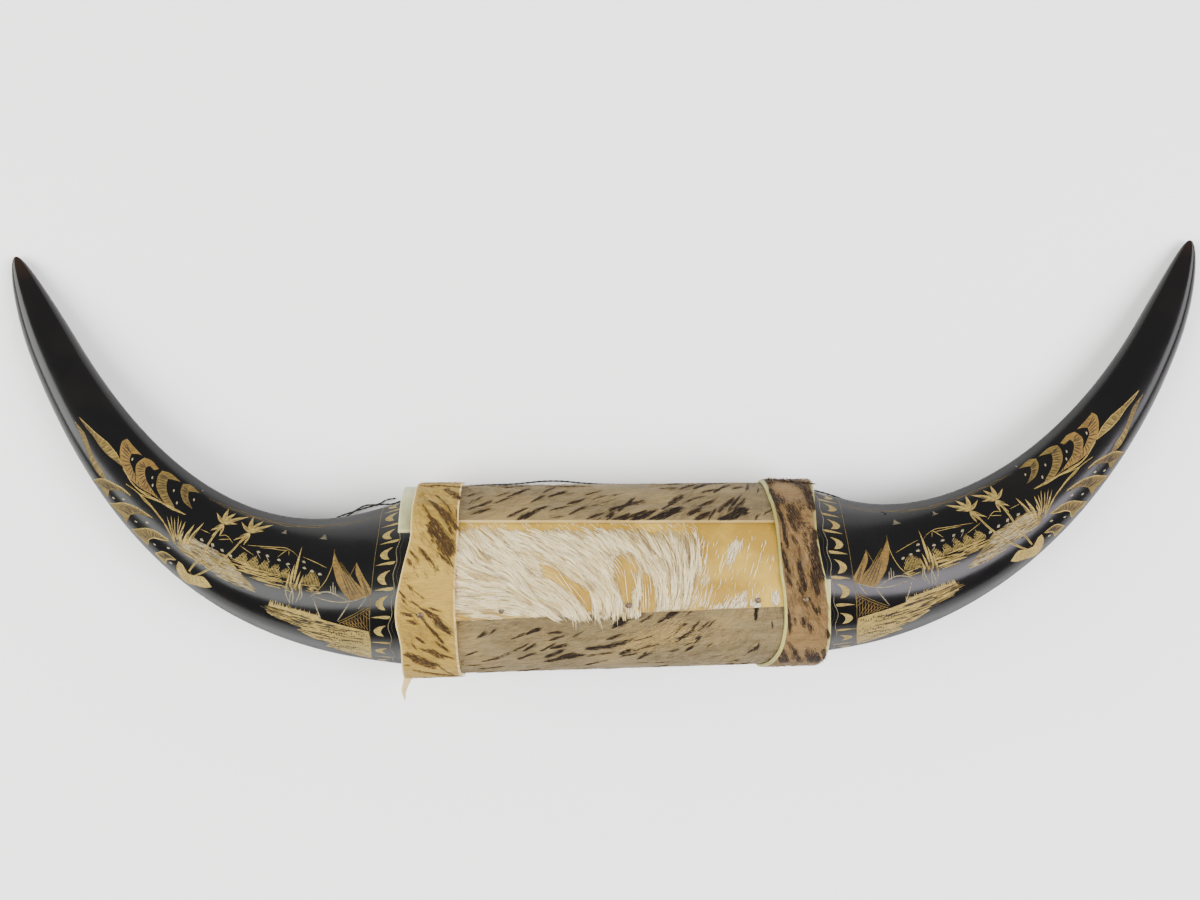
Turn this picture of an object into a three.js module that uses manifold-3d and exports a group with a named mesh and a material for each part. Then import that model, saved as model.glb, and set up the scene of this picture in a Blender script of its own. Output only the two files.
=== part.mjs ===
// A pair of polished buffalo horns, joined by a round roll of wood that is wrapped in hide.
// Millimetres, +Z up. It lies on its back: X runs along the roll, Y towards the horn tips and
// Z away from the surface it lies on. It rests on the flat backs of the two hide collars and
// on the horn tips. While it is built, X = 0 and Y = 0 are the middle of the roll.
import * as THREE from "three";
import { mergeVertices } from "three/addons/utils/BufferGeometryUtils.js";
import Module from "manifold-3d";

const wasm = await Module();
wasm.setup();

// ---- Driving dimensions ----

const GAP = 0.3; // air between two pieces that touch
const AXIS_HEIGHT = 42; // the roll's middle above the surface

// The wooden roll: round, a little thinner towards +X, with a flat planed on its back.
const ROLL = { halfLength: 101.5, radius: 47.3, taper: 0.0103, flat: 38 };
const PEG = { radius: 14, length: 38, rooted: 2, sides: 20 };

// Layers on the roll, as heights over the wood. A lifted edge lies over another hide.
const HIDE = { under: GAP, thick: 1.8, halfLength: 97 };
const COLLAR = { under: 2.4, thick: 1.6 };
const LIFTED = 2.1;

// Angles round the roll in degrees, from its front (+Z) towards the horn tips (+Y).
const TOP_EDGE = { wrapEnd: 37, panelEnd: 42, lifted: 46, flush: 53, collarFlush: 60 };
const LOW_EDGE = { panelEnd: -18.8, wrapEnd: -9, flush: -2, collarFlush: 5 };
const TOP_SKEW = -0.021; // degrees that the panel's edges turn for each mm along the roll
const LOW_SKEW = 0.023;
const SKEWED = { from: -60, to: 100 }; // the angles between which anything turns
const COLLAR_RISE = 9; // degrees in which a collar climbs onto a lifted edge
const ANGLE_STEP = 9;
const CLEAR_STEP = 2.5; // the least that a regular angle stays away from an edge's angle
const CORNER_ANGLES = [141, 142.5, 144, 145.5, 147]; // where the round meets the flat back

// Edges of each collar: [angle, X], its side towards the horn and its side towards the roll.
const LEFT_COLLAR = {
  outer: [[-180, -108], [-90, -113.6], [-38, -110.4], [-18, -112.2], [-7, -111.5],
    [11, -107.7], [28, -103.9], [90, -103.3]],
  inner: [[-180, -80], [-90, -81.8], [-35, -81], [0, -80.7], [32, -79], [90, -79.4]],
};
const RIGHT_COLLAR = {
  outer: [[-180, 108], [-90, 109], [-70, 110.6], [-54, 112.4], [-36, 112.8], [-19, 111.9],
    [-4, 110.2], [12, 107.4], [32, 105.8], [90, 108.7]],
  inner: [[-180, 80], [-90, 76.5], [-63, 83.7], [-48, 86.9], [-28, 88.5], [-12, 87.6],
    [5, 85.9], [28, 85.2], [55, 82.9], [90, 80.3]],
};

// Rawhide strips that show past the collars' outer edges.
const STRIPS = [
  { name: "lining_strip_left", from: 34, to: 138, inner: -97.3, outer: -110.6 },
  { name: "lining_strip_right", from: -135, to: -1, inner: 97.3, outer: 112.2 },
];

// A torn sliver of the left collar, from its lower edge to its tip.
const SLIVER = {
  path: [[-110.6, -50.4, 41], [-112.4, -54, 39.5], [-113.6, -60, 36], [-114.4, -65.5, 32]],
  halfWidth: [3, 2.1, 1.4, 0.4],
  thick: 1.3,
};

// Horns: the middle line seen from above is a cubic curve, [X away from the middle, Y].
const HORN_BASE = ROLL.halfLength + GAP;
const HORNS = [
  {
    name: "horn_left",
    side: -1,
    line: [[HORN_BASE, -0.2], [214.2, -17.4], [282.7, 62.6], [330.3, 183.3]],
    width: { start: 34.85, loss: 25.6, flare: 11.2, flareEnd: 0.21 },
  },
  {
    name: "horn_right",
    side: 1,
    line: [[HORN_BASE, 1.1], [196.3, -16.5], [289.5, 65.5], [328.2, 178.7]],
    width: { start: 29.25, loss: 21.6, flare: 15.45, flareEnd: 0.4 },
  },
];
const HORN = {
  baseHeight: 43.8, // the middle line's height at the roll, and at the tip
  tipHeight: 4.47,
  fall: 1.6, // how late the middle line drops
  tipStart: 0.84, // where along the line the tip begins to round off
  squareEnd: 0.15, // how far the sections stay turned towards the roll
  depth: [0.93, -0.46, 0.48], // depth over width: at the base, then by t and by t squared
  ridge: [0.055, -0.02], // how three-sided the section is
  ridgeAngle: [8, 55], // where the front ridge runs, in degrees towards the outer curve
  bodyStations: 20,
  tipStations: 6,
  sides: 24,
  bluntAngle: 84,
};

// Long hair on the panel, as locks. "across" runs along the panel's haired part, "down" over it.
const FUR = {
  left: -75,
  right: 45,
  top: 33,
  bottom: -18,
  columns: 7,
  rows: 4,
  firstRow: 0.04, // of the hair's depth
  rowSpan: 0.72,
  steps: 4,
  stride: 6.4,
  halfWidth: 3.2,
  tipHalfWidth: 0.25,
  height: 1.8,
  arch: [0.12, 0.8], // the part of half a wave that the crown follows: where it starts, its run
  sunk: 0.7,
  droop: 1, // how far the tips sink past the panel's lower edge
  droopRun: 9, // degrees in which they do
};
// Bare partings in the hair, each from [across, down] to [across, down].
const PARTINGS = [
  [[0.35, 0.49], [0.54, 1.1]],
  [[0.6, 0.17], [0.71, 1]],
  [[0.77, 0.61], [0.8, 1.1]],
];
const PARTING = { halfWidth: 0.045, past: 0.1 };

const TACK = {
  angle: -13.5,
  headRadius: 1.6,
  headHeight: 0.9,
  shankRadius: 0.6,
  length: 9,
  point: 1,
  sides: 12,
};
const DOME = [[0.94, 0.45], [0.6, 0.85], [0, 1]]; // a tack head's profile, as shares of it
const TACK_PLACES = [
  { x: -98.8, through: ["hide_collar_left"] },
  { x: -57.4, through: ["fur_panel", "hide_wrap"] },
  { x: 7.9, through: ["fur_panel", "hide_wrap"] },
  { x: 74.3, through: ["fur_panel", "hide_wrap"] },
  { x: 98.7, through: ["hide_collar_right", "lining_strip_right"] },
];
const HEAD_ROOM = { radius: 2.6, height: 6, sides: 16 }; // free of hair round a tack's head

// Nails in the horns' backs, which hold the cord.
const NAIL = {
  x: 163,
  y: 16,
  bottom: 7.4,
  top: 27,
  radius: 1.2,
  headRadius: 2.7,
  headHeight: 0.9,
  point: 2,
  sides: 14,
};

const CORD_RADIUS = 0.5;
const CORD_SIDES = 8;
const CORD_STEPS_PER_POINT = 2;
const CORD_ROUTE = [
  // round the right nail and down to the surface
  [163, 13.7, 11.5], [165.3, 16, 11.3], [163.4, 18.6, 10.8], [157, 22.5, 8.8],
  [148, 28, 5.2], [138, 34, 2.2], [126, 39.5, 0.8],
  // along the roll
  [112, 43.5, 0.55], [95, 46.2, 0.55], [75, 47.6, 0.55], [50, 48, 0.55], [25, 48.2, 0.55],
  [0, 48.7, 0.55], [-15.5, 49.8, 0.55], [-27.5, 51.1, 0.55], [-39, 51.2, 0.55],
  [-53, 50.1, 0.55], [-80, 49.4, 0.55], [-100, 46.2, 0.55], [-117.3, 41.8, 0.55],
  // up to the left nail and round it
  [-123, 40.2, 0.55], [-130.5, 40, 0.6], [-138, 38.2, 1.2], [-146, 35.9, 2.2],
  [-154, 32.9, 3.8], [-161.4, 27.2, 7], [-165.4, 20.8, 9.8], [-165.5, 16, 11.2],
  [-163.2, 13.6, 11.7], [-160.7, 15.8, 11.4], [-160.9, 20.2, 9.4],
  // back beside itself to a loose end
  [-158, 26.2, 6.4], [-152.6, 31.2, 4.6], [-146.2, 34.8, 3.6], [-138.4, 39.5, 1.7],
  [-130.6, 40.2, 1.9], [-125.6, 42.6, 0.9], [-120.6, 43.4, 0.55],
];

// ---- Finishes ----

function finish(color, roughness, metalness = 0) {
  return new THREE.MeshStandardMaterial({ color, roughness, metalness });
}

const KERATIN = finish(0x161312, 0.22);
const WOOD = finish(0xb08a5a, 0.8);
const BRINDLED_HIDE = finish(0xa08e74, 0.9);
const WHITE_FUR = finish(0xd9cba8, 0.9);
const TAN_HIDE = finish(0xc9a66b, 0.85);
const BROWN_HIDE = finish(0x9a7a55, 0.85);
const RAWHIDE = finish(0xb9b48a, 0.6);
const TACK_METAL = finish(0x6b4a2a, 0.5, 0.8);
const NAIL_STEEL = finish(0x77736c, 0.4, 0.9);
const TWINE = finish(0x1c1b1a, 0.8);

// ---- Solids ----

const radians = THREE.MathUtils.degToRad;
const smooth = (value, from, to) => THREE.MathUtils.smoothstep(value, from, to);

// Straight-line reading of [at, value] pairs in rising order.
function along(pairs, at) {
  const last = pairs.length - 1;
  if (at <= pairs[0][0]) return pairs[0][1];
  if (at >= pairs[last][0]) return pairs[last][1];
  const i = pairs.findIndex((pair) => pair[0] > at);
  const [a, b] = [pairs[i - 1], pairs[i]];
  return a[1] + ((at - a[0]) / (b[0] - a[0])) * (b[1] - a[1]);
}

// The same, for pairs that go once round the roll from -180 degrees.
function around(pairs, angle) {
  const turned = ((((angle + 180) % 360) + 360) % 360) - 180;
  return along([...pairs, [180, pairs[0][1]]], turned);
}

// Skin over a row of loops with as many points each. A ring joins its last loop to its first,
// and any other skin is closed by flat caps that zip each end loop from both sides.
function loft(loops, ring = false) {
  const size = loops[0].length;
  const positions = loops.flat().flatMap((p) => [p.x, p.y, p.z]);
  const faces = [];
  const quad = (a, b, c, d) => faces.push([a, b, c], [a, c, d]);
  const bands = ring ? loops.length : loops.length - 1;
  for (let i = 0; i < bands; i++) {
    const near = i * size;
    const far = ((i + 1) % loops.length) * size;
    for (let j = 0; j < size; j++) {
      const next = (j + 1) % size;
      quad(near + j, near + next, far + next, far + j);
    }
  }
  if (!ring) {
    const far = (loops.length - 1) * size;
    const half = Math.floor(size / 2);
    for (let j = 0; j < half - 1; j++) {
      const mate = size - 1 - j;
      quad(mate, mate - 1, j + 1, j);
      quad(far + j, far + j + 1, far + mate - 1, far + mate);
    }
    if (size % 2) {
      faces.push([half + 1, half, half - 1], [far + half - 1, far + half, far + half + 1]);
    }
  }
  return facingOut(positions, faces);
}

// A geometry whose faces are turned so that they point away from its inside.
function facingOut(positions, faces) {
  const corner = (i) => new THREE.Vector3().fromArray(positions, 3 * i);
  let volume = 0;
  for (const [a, b, c] of faces) volume += corner(a).dot(corner(b).cross(corner(c)));
  const turned = volume < 0 ? faces.map(([a, b, c]) => [a, c, b]) : faces;
  const geometry = new THREE.BufferGeometry();
  geometry.setAttribute("position", new THREE.Float32BufferAttribute(positions, 3));
  geometry.setIndex(turned.flat());
  return geometry;
}

function toManifold(geometry) {
  const bare = geometry.clone();
  bare.deleteAttribute("normal");
  bare.deleteAttribute("uv");
  const merged = mergeVertices(bare, 1e-4);
  return new wasm.Manifold(new wasm.Mesh({
    numProp: 3,
    vertProperties: merged.attributes.position.array,
    triVerts: new Uint32Array(merged.index.array),
  }));
}

function toGeometry(manifold) {
  const mesh = manifold.getMesh();
  const geometry = new THREE.BufferGeometry();
  geometry.setAttribute("position", new THREE.BufferAttribute(mesh.vertProperties, 3));
  geometry.setIndex(new THREE.BufferAttribute(mesh.triVerts, 1));
  return geometry;
}

// One geometry joined to others, then cut by others. Sealed hollows and crumbs are left out.
function carve(geometry, joined, cuts) {
  let solid = toManifold(geometry);
  for (const piece of joined) solid = solid.add(toManifold(piece));
  for (const cut of cuts) solid = solid.subtract(toManifold(cut));
  const largest = (a, b) => (a.volume() > b.volume() ? a : b);
  return toGeometry(solid.decompose().reduce(largest));
}

// A closed cylinder between two points.
function rod(from, to, radius, sides) {
  const length = from.distanceTo(to);
  const way = to.clone().sub(from).normalize();
  const turn = new THREE.Quaternion().setFromUnitVectors(new THREE.Vector3(0, 1, 0), way);
  return new THREE.CylinderGeometry(radius, radius, length, sides)
    .applyQuaternion(turn)
    .translate(...from.clone().add(to).multiplyScalar(0.5).toArray());
}

// ---- The roll and its layers ----

// Distance from the roll's middle to a layer, round in front and flat at the back.
function rollRadius(x, angle, lift) {
  const round = ROLL.radius - ROLL.taper * x + lift;
  const flat = ROLL.flat + lift;
  const down = -Math.cos(radians(angle));
  return down * round > flat ? flat / down : round;
}

const signedAngle = (angle) => (angle > 180 ? angle - 360 : angle);

// The panel's edges run a little askew, and the angles near them turn with X.
function askew(angle, x) {
  const skew = along([[SKEWED.from, 0], [LOW_EDGE.panelEnd, LOW_SKEW],
    [TOP_EDGE.wrapEnd, TOP_SKEW], [TOP_EDGE.flush, TOP_SKEW], [SKEWED.to, 0]],
  signedAngle(angle));
  return angle + skew * x;
}

function onRoll(x, angle, lift) {
  const turned = askew(angle, x);
  const radius = rollRadius(x, turned, lift);
  const [y, z] = [Math.sin(radians(turned)) * radius, Math.cos(radians(turned)) * radius];
  return new THREE.Vector3(x, y, AXIS_HEIGHT + z);
}

// Every layer uses the same angles, so that the facets of one never cut into the next.
function rollAngles() {
  const low = [LOW_EDGE.panelEnd - COLLAR_RISE, LOW_EDGE.panelEnd, LOW_EDGE.wrapEnd,
    LOW_EDGE.flush, LOW_EDGE.collarFlush].map((angle) => (angle + 360) % 360);
  const top = [TOP_EDGE.wrapEnd - COLLAR_RISE, TOP_EDGE.wrapEnd, TOP_EDGE.panelEnd,
    TOP_EDGE.lifted, TOP_EDGE.flush, TOP_EDGE.collarFlush];
  const corners = [...CORNER_ANGLES, 180, ...CORNER_ANGLES.map((angle) => 360 - angle)];
  const stripEnds = STRIPS.flatMap((strip) => [strip.from, strip.to]);
  const needed = [...low, ...top, ...corners, ...stripEnds.map((angle) => (angle + 360) % 360)];
  const angles = [...new Set(needed)];
  for (let angle = 0; angle < 360; angle += ANGLE_STEP) {
    const clear = needed.every((other) => Math.abs(other - angle) > CLEAR_STEP);
    const flat = angle > CORNER_ANGLES.at(-1) && angle < 360 - CORNER_ANGLES.at(-1);
    if (clear && !flat) angles.push(angle);
  }
  return angles.sort((a, b) => a - b);
}

const ANGLES = rollAngles();

function anglesBetween(from, to) {
  return [-360, 0, 360].flatMap((turn) => ANGLES.map((angle) => angle + turn))
    .filter((angle) => angle >= from - 1e-6 && angle <= to + 1e-6);
}

// How far a layer is lifted by the edges that it lies over, as a share of LIFTED.
function wrapRise(angle) {
  return along([[TOP_EDGE.lifted, 1], [TOP_EDGE.flush, 0]], angle);
}

function panelRise(angle) {
  return along([[LOW_EDGE.wrapEnd, 1], [LOW_EDGE.flush, 0]], angle);
}

function collarRise(angle) {
  return along([
    [LOW_EDGE.panelEnd - COLLAR_RISE, 0],
    [LOW_EDGE.panelEnd, 1],
    [LOW_EDGE.wrapEnd, 1],
    [LOW_EDGE.collarFlush, 0],
    [TOP_EDGE.wrapEnd - COLLAR_RISE, 0],
    [TOP_EDGE.wrapEnd, 1],
    [TOP_EDGE.lifted, 1],
    [TOP_EDGE.collarFlush, 0],
  ], signedAngle(angle));
}

// A wall on the roll, from its left edge to its right edge at each angle.
function sheet({ angles, ring = false, left, right, stations = 2, layer, rise = () => 0 }) {
  const loops = angles.map((angle) => {
    const under = layer.under + LIFTED * rise(angle);
    const row = (lift) => Array.from({ length: stations + 1 }, (_, i) => {
      const x = THREE.MathUtils.lerp(left(angle), right(angle), i / stations);
      return onRoll(x, angle, lift);
    });
    return [...row(under + layer.thick), ...row(under).reverse()];
  });
  return loft(loops, ring);
}

function collar(edges, side) {
  const outer = (angle) => around(edges.outer, angle);
  const inner = (angle) => around(edges.inner, angle);
  return sheet({
    angles: ANGLES,
    ring: true,
    left: side < 0 ? outer : inner,
    right: side < 0 ? inner : outer,
    stations: 1,
    layer: COLLAR,
    rise: collarRise,
  });
}

function core() {
  const section = (x) => ANGLES.map((angle) => onRoll(x, angle, 0));
  const places = [-ROLL.halfLength, -HIDE.halfLength, 0, HIDE.halfLength, ROLL.halfLength];
  return loft(places.map(section));
}

function peg(side, radius, length) {
  const from = new THREE.Vector3(side * (ROLL.halfLength - PEG.rooted), 0, HORN.baseHeight);
  const to = new THREE.Vector3(side * (ROLL.halfLength + length), 0, HORN.baseHeight);
  return rod(from, to, radius, PEG.sides);
}

function sliver() {
  const points = SLIVER.path.map((p) => new THREE.Vector3(...p));
  const loops = points.map((p, i) => {
    const wide = SLIVER.halfWidth[i];
    const deep = SLIVER.thick / 2;
    return [[-wide, deep], [wide, deep], [wide, -deep], [-wide, -deep]].map(
      ([x, z]) => new THREE.Vector3(p.x + x, p.y + z, p.z + z));
  });
  return loft(loops);
}

// ---- Long hair ----

// The hair's lie on the panel, in degrees below the roll's length: it fans out to the right.
function hairLie(across, down) {
  const top = 50 - 60 * across + 95 * across ** 2.6;
  const bottom = 5 + 130 * across - 30 * across ** 2;
  return THREE.MathUtils.lerp(top, bottom, THREE.MathUtils.clamp(down, 0, 1));
}

function nearParting(across, down) {
  return PARTINGS.some(([from, to]) => {
    const share = (down - from[1]) / (to[1] - from[1]);
    const middle = THREE.MathUtils.lerp(from[0], to[0], share);
    const beside = share > -PARTING.past && share < 1 + PARTING.past;
    return beside && Math.abs(across - middle) < PARTING.halfWidth;
  });
}

function lock(across, down) {
  const degreesPerMm = 1 / radians(ROLL.radius + HIDE.thick);
  let x = THREE.MathUtils.lerp(FUR.left, FUR.right, across);
  let angle = THREE.MathUtils.lerp(FUR.top, FUR.bottom, down);
  const loops = [];
  for (let i = 0; i <= FUR.steps; i++) {
    const share = i / FUR.steps;
    const lie = radians(hairLie(
      (x - FUR.left) / (FUR.right - FUR.left),
      (FUR.top - angle) / (FUR.top - FUR.bottom)));
    const half = FUR.halfWidth * (1 - share ** 2) + FUR.tipHalfWidth;
    const edge = smooth(LOW_EDGE.panelEnd - angle, 0, FUR.droopRun);
    const skin = HIDE.under + HIDE.thick + LIFTED * panelRise(angle) - FUR.droop * edge;
    const crown = skin + FUR.height * Math.sin(Math.PI * (FUR.arch[0] + FUR.arch[1] * share));
    const side = (reach, lift) => onRoll(
      x + reach * Math.sin(lie), angle + reach * Math.cos(lie) * degreesPerMm, lift);
    loops.push([side(-half, skin - FUR.sunk), side(0, crown), side(half, skin - FUR.sunk)]);
    x += FUR.stride * Math.cos(lie);
    angle -= FUR.stride * Math.sin(lie) * degreesPerMm;
  }
  return loft(loops);
}

function locks() {
  const made = [];
  for (let row = 0; row < FUR.rows; row++) {
    for (let column = 0; column < FUR.columns; column++) {
      const across = (column + 0.5 * (row % 2)) / (FUR.columns - 0.5);
      const down = FUR.firstRow + (row * FUR.rowSpan) / (FUR.rows - 1);
      if (!nearParting(across, down)) made.push(lock(across, down));
    }
  }
  return made;
}

// ---- Tacks and nails ----

function tackPlace(x, lift) {
  const foot = onRoll(x, TACK.angle, lift);
  const middle = new THREE.Vector3(x, 0, AXIS_HEIGHT);
  return { foot, way: foot.clone().sub(middle).normalize() };
}

const throughPanel = (place) => place.through.includes("fur_panel");

function liftAt(place) {
  const layer = throughPanel(place) ? HIDE : COLLAR;
  return layer.under + layer.thick + LIFTED + GAP;
}

function tack(place) {
  const { headRadius, headHeight, shankRadius, length, point } = TACK;
  const dome = DOME.map(([wide, high]) => [headRadius * wide, headHeight * high]);
  const profile = [[0, -length], [shankRadius, point - length], [shankRadius, 0],
    [headRadius, 0], ...dome];
  const { foot, way } = tackPlace(place.x, liftAt(place));
  const turn = new THREE.Quaternion().setFromUnitVectors(new THREE.Vector3(0, 1, 0), way);
  return new THREE.LatheGeometry(profile.map((p) => new THREE.Vector2(...p)), TACK.sides)
    .applyQuaternion(turn)
    .translate(...foot.toArray());
}

// The hole for one tack's shank, and the clear space that its head needs.
function tackHole(place) {
  const { foot, way } = tackPlace(place.x, liftAt(place));
  const end = foot.clone().addScaledVector(way, -TACK.length - GAP);
  const over = foot.clone().addScaledVector(way, TACK.headHeight);
  return rod(end, over, TACK.shankRadius + GAP, TACK.sides);
}

function headRoom(place) {
  const { foot, way } = tackPlace(place.x, liftAt(place));
  const under = foot.clone().addScaledVector(way, -GAP * 0.9);
  const over = foot.clone().addScaledVector(way, HEAD_ROOM.height);
  return rod(under, over, HEAD_ROOM.radius, HEAD_ROOM.sides);
}

function holesThrough(name) {
  return TACK_PLACES.filter((place) => place.through.includes(name)).map(tackHole);
}

function nail(side) {
  const { bottom, top, radius, headRadius, headHeight, point } = NAIL;
  const profile = [[0, bottom], [headRadius, bottom], [headRadius, bottom + headHeight],
    [radius, bottom + headHeight], [radius, top - point], [0, top]];
  return new THREE.LatheGeometry(profile.map((p) => new THREE.Vector2(...p)), NAIL.sides)
    .rotateX(Math.PI / 2)
    .translate(side * NAIL.x, NAIL.y, 0);
}

function nailHole(side) {
  const from = new THREE.Vector3(side * NAIL.x, NAIL.y, 0);
  const to = new THREE.Vector3(side * NAIL.x, NAIL.y, NAIL.top + GAP);
  return rod(from, to, NAIL.radius + GAP, NAIL.sides);
}

// ---- Horns ----

function hornStations() {
  const body = Array.from({ length: HORN.bodyStations }, (_, i) => {
    return { t: (HORN.tipStart * i) / HORN.bodyStations, round: 1 };
  });
  const tip = Array.from({ length: HORN.tipStations + 1 }, (_, i) => {
    const angle = radians((HORN.bluntAngle * i) / HORN.tipStations);
    const t = HORN.tipStart + (1 - HORN.tipStart) * Math.sin(angle);
    return { t, round: Math.cos(angle) };
  });
  return [...body, ...tip];
}

function horn({ side, line, width }) {
  const points = line.map(([x, y]) => new THREE.Vector3(x, y, 0));
  const curve = new THREE.CubicBezierCurve3(...points);
  const drop = HORN.baseHeight - HORN.tipHeight;
  const loops = hornStations().map(({ t, round }) => {
    const middle = curve.getPoint(t);
    middle.z = HORN.baseHeight - drop * t ** HORN.fall;
    const way = curve.getTangent(t);
    way.lerp(new THREE.Vector3(1, 0, 0), 1 - smooth(t, 0, HORN.squareEnd)).normalize();
    const outward = new THREE.Vector3(way.y, -way.x, 0);
    const flare = width.flare * Math.exp(-t / width.flareEnd);
    const wide = (width.start - width.loss * t + flare) * round;
    const deep = wide * (HORN.depth[0] + HORN.depth[1] * t + HORN.depth[2] * t * t);
    const ridge = HORN.ridge[0] + HORN.ridge[1] * t;
    const ridgeAngle = radians(HORN.ridgeAngle[0] + HORN.ridgeAngle[1] * t);
    // The ridges swell one side and thin the other, and the middle makes up for it.
    middle.addScaledVector(outward, wide * ridge * Math.sin(3 * ridgeAngle));
    return Array.from({ length: HORN.sides }, (_, i) => {
      const angle = (2 * Math.PI * i) / HORN.sides;
      const swell = 1 + ridge * Math.cos(3 * (angle - ridgeAngle));
      const point = middle.clone().addScaledVector(outward, wide * Math.sin(angle) * swell);
      point.z += deep * Math.cos(angle) * swell;
      point.x *= side;
      return point;
    });
  });
  return loft(loops);
}

// ---- Cord ----

// A curve whose steps follow its points, so that tight bends get as many steps as long runs.
class Route extends THREE.CatmullRomCurve3 {
  getUtoTmapping(u) {
    return u;
  }
}

function cord() {
  const route = new Route(CORD_ROUTE.map((p) => new THREE.Vector3(...p)));
  const section = new THREE.Shape(Array.from({ length: CORD_SIDES }, (_, i) => {
    const angle = (2 * Math.PI * i) / CORD_SIDES;
    return new THREE.Vector2(CORD_RADIUS * Math.cos(angle), CORD_RADIUS * Math.sin(angle));
  }));
  const steps = (CORD_ROUTE.length - 1) * CORD_STEPS_PER_POINT;
  return new THREE.ExtrudeGeometry(section, { steps, extrudePath: route });
}

// ---- Assembly ----

function named(name, geometry, material) {
  const mesh = new THREE.Mesh(geometry, material);
  mesh.name = name;
  return mesh;
}

const object = new THREE.Group();

for (const spec of HORNS) {
  const socket = peg(spec.side, PEG.radius + GAP, PEG.length + GAP);
  const geometry = carve(horn(spec), [], [socket, nailHole(spec.side)]);
  object.add(named(spec.name, geometry, KERATIN));
}

const pegs = [-1, 1].map((side) => peg(side, PEG.radius, PEG.length));
object.add(named("wood_core", carve(core(), pegs, TACK_PLACES.map(tackHole)), WOOD));

const panel = sheet({
  angles: anglesBetween(LOW_EDGE.panelEnd, TOP_EDGE.panelEnd),
  left: () => -HIDE.halfLength,
  right: () => HIDE.halfLength,
  layer: HIDE,
  rise: panelRise,
});
const wrap = sheet({
  angles: anglesBetween(TOP_EDGE.wrapEnd, 360 + LOW_EDGE.wrapEnd),
  left: () => -HIDE.halfLength,
  right: () => HIDE.halfLength,
  layer: HIDE,
  rise: wrapRise,
});
const headRooms = TACK_PLACES.filter(throughPanel).map(headRoom);
const furCuts = [...headRooms, ...holesThrough("fur_panel")];
object.add(named("hide_wrap", carve(wrap, [], holesThrough("hide_wrap")), BRINDLED_HIDE));
object.add(named("fur_panel", carve(panel, locks(), furCuts), WHITE_FUR));

const leftCollar = carve(collar(LEFT_COLLAR, -1), [sliver()], holesThrough("hide_collar_left"));
const rightCollar = carve(collar(RIGHT_COLLAR, 1), [], holesThrough("hide_collar_right"));
object.add(named("hide_collar_left", leftCollar, TAN_HIDE));
object.add(named("hide_collar_right", rightCollar, BROWN_HIDE));

for (const strip of STRIPS) {
  const geometry = sheet({
    angles: anglesBetween(strip.from, strip.to),
    left: () => Math.min(strip.inner, strip.outer),
    right: () => Math.max(strip.inner, strip.outer),
    layer: HIDE,
  });
  object.add(named(strip.name, carve(geometry, [], holesThrough(strip.name)), RAWHIDE));
}

TACK_PLACES.forEach((place, i) => {
  object.add(named(`tack_${i + 1}`, tack(place), TACK_METAL));
});

object.add(named("cord_nail_left", nail(-1), NAIL_STEEL));
object.add(named("cord_nail_right", nail(1), NAIL_STEEL));

// The origin is under the middle of all but the cord.
const box = new THREE.Box3().setFromObject(object);
const middle = box.getCenter(new THREE.Vector3());
object.position.set(-middle.x, -middle.y, -box.min.z);
object.add(named("hanging_cord", cord(), TWINE));

const group = new THREE.Group();
group.add(object);

export default group;
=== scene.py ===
"""Dresses a pair of engraved buffalo horns that lie on their back.

Two polished black horns are joined by a round roll that is wrapped in hide. Lengths are in
millimetres from the roll's middle, X along the roll, Y towards the horn tips and Z up from the
surface, until to_part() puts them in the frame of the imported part.
"""
import logging
from dataclasses import dataclass, field
from enum import Enum
from typing import Callable, Iterable, Sequence

import bpy
import numpy as np
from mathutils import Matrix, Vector
from mathutils.geometry import delaunay_2d_cdt


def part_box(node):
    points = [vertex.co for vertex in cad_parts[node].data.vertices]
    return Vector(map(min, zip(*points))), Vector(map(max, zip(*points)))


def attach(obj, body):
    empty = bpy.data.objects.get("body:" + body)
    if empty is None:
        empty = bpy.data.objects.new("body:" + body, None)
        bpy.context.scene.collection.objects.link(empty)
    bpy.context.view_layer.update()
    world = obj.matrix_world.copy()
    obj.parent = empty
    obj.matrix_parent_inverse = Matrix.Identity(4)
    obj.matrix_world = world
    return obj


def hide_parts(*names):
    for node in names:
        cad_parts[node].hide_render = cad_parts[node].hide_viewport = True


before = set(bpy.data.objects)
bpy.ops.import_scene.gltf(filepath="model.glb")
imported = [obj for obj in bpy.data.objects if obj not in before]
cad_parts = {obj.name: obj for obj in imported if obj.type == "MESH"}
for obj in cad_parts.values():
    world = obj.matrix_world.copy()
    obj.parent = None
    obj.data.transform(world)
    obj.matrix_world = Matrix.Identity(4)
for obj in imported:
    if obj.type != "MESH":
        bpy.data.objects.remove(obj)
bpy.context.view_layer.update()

LOG = logging.getLogger("buffalo_horns")
MM = 0.001
CORE_BACK = 4.0  # the core's flat back above the surface
Array = np.ndarray
Random = np.random.Generator
Material = bpy.types.Material
Object = bpy.types.Object
EdgeLine = Callable[[Array], Array]  # where an edge is, by the other coordinate
OverRoll = Callable[[Array, Array], Array]  # something at each place along and round the roll


def part_origin() -> Array:
    """Return the point under the roll's middle, in metres in the part's frame."""
    low, high = (np.array(corner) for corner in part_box("wood_core"))
    middle = (low + high) / 2
    return np.array([middle[0], middle[1], low[2] - CORE_BACK * MM])


ORIGIN = part_origin()


def to_part(points: Array) -> Array:
    """Turn millimetres from the roll's middle into metres in the part's frame."""
    return ORIGIN + np.asarray(points, dtype=float) * MM


def smoothstep(value: Array | float, start: float, end: float) -> Array | float:
    """Rise smoothly from 0 at start to 1 at end."""
    share = np.clip((np.asarray(value, dtype=float) - start) / (end - start), 0.0, 1.0)
    return share * share * (3 - 2 * share)


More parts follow.
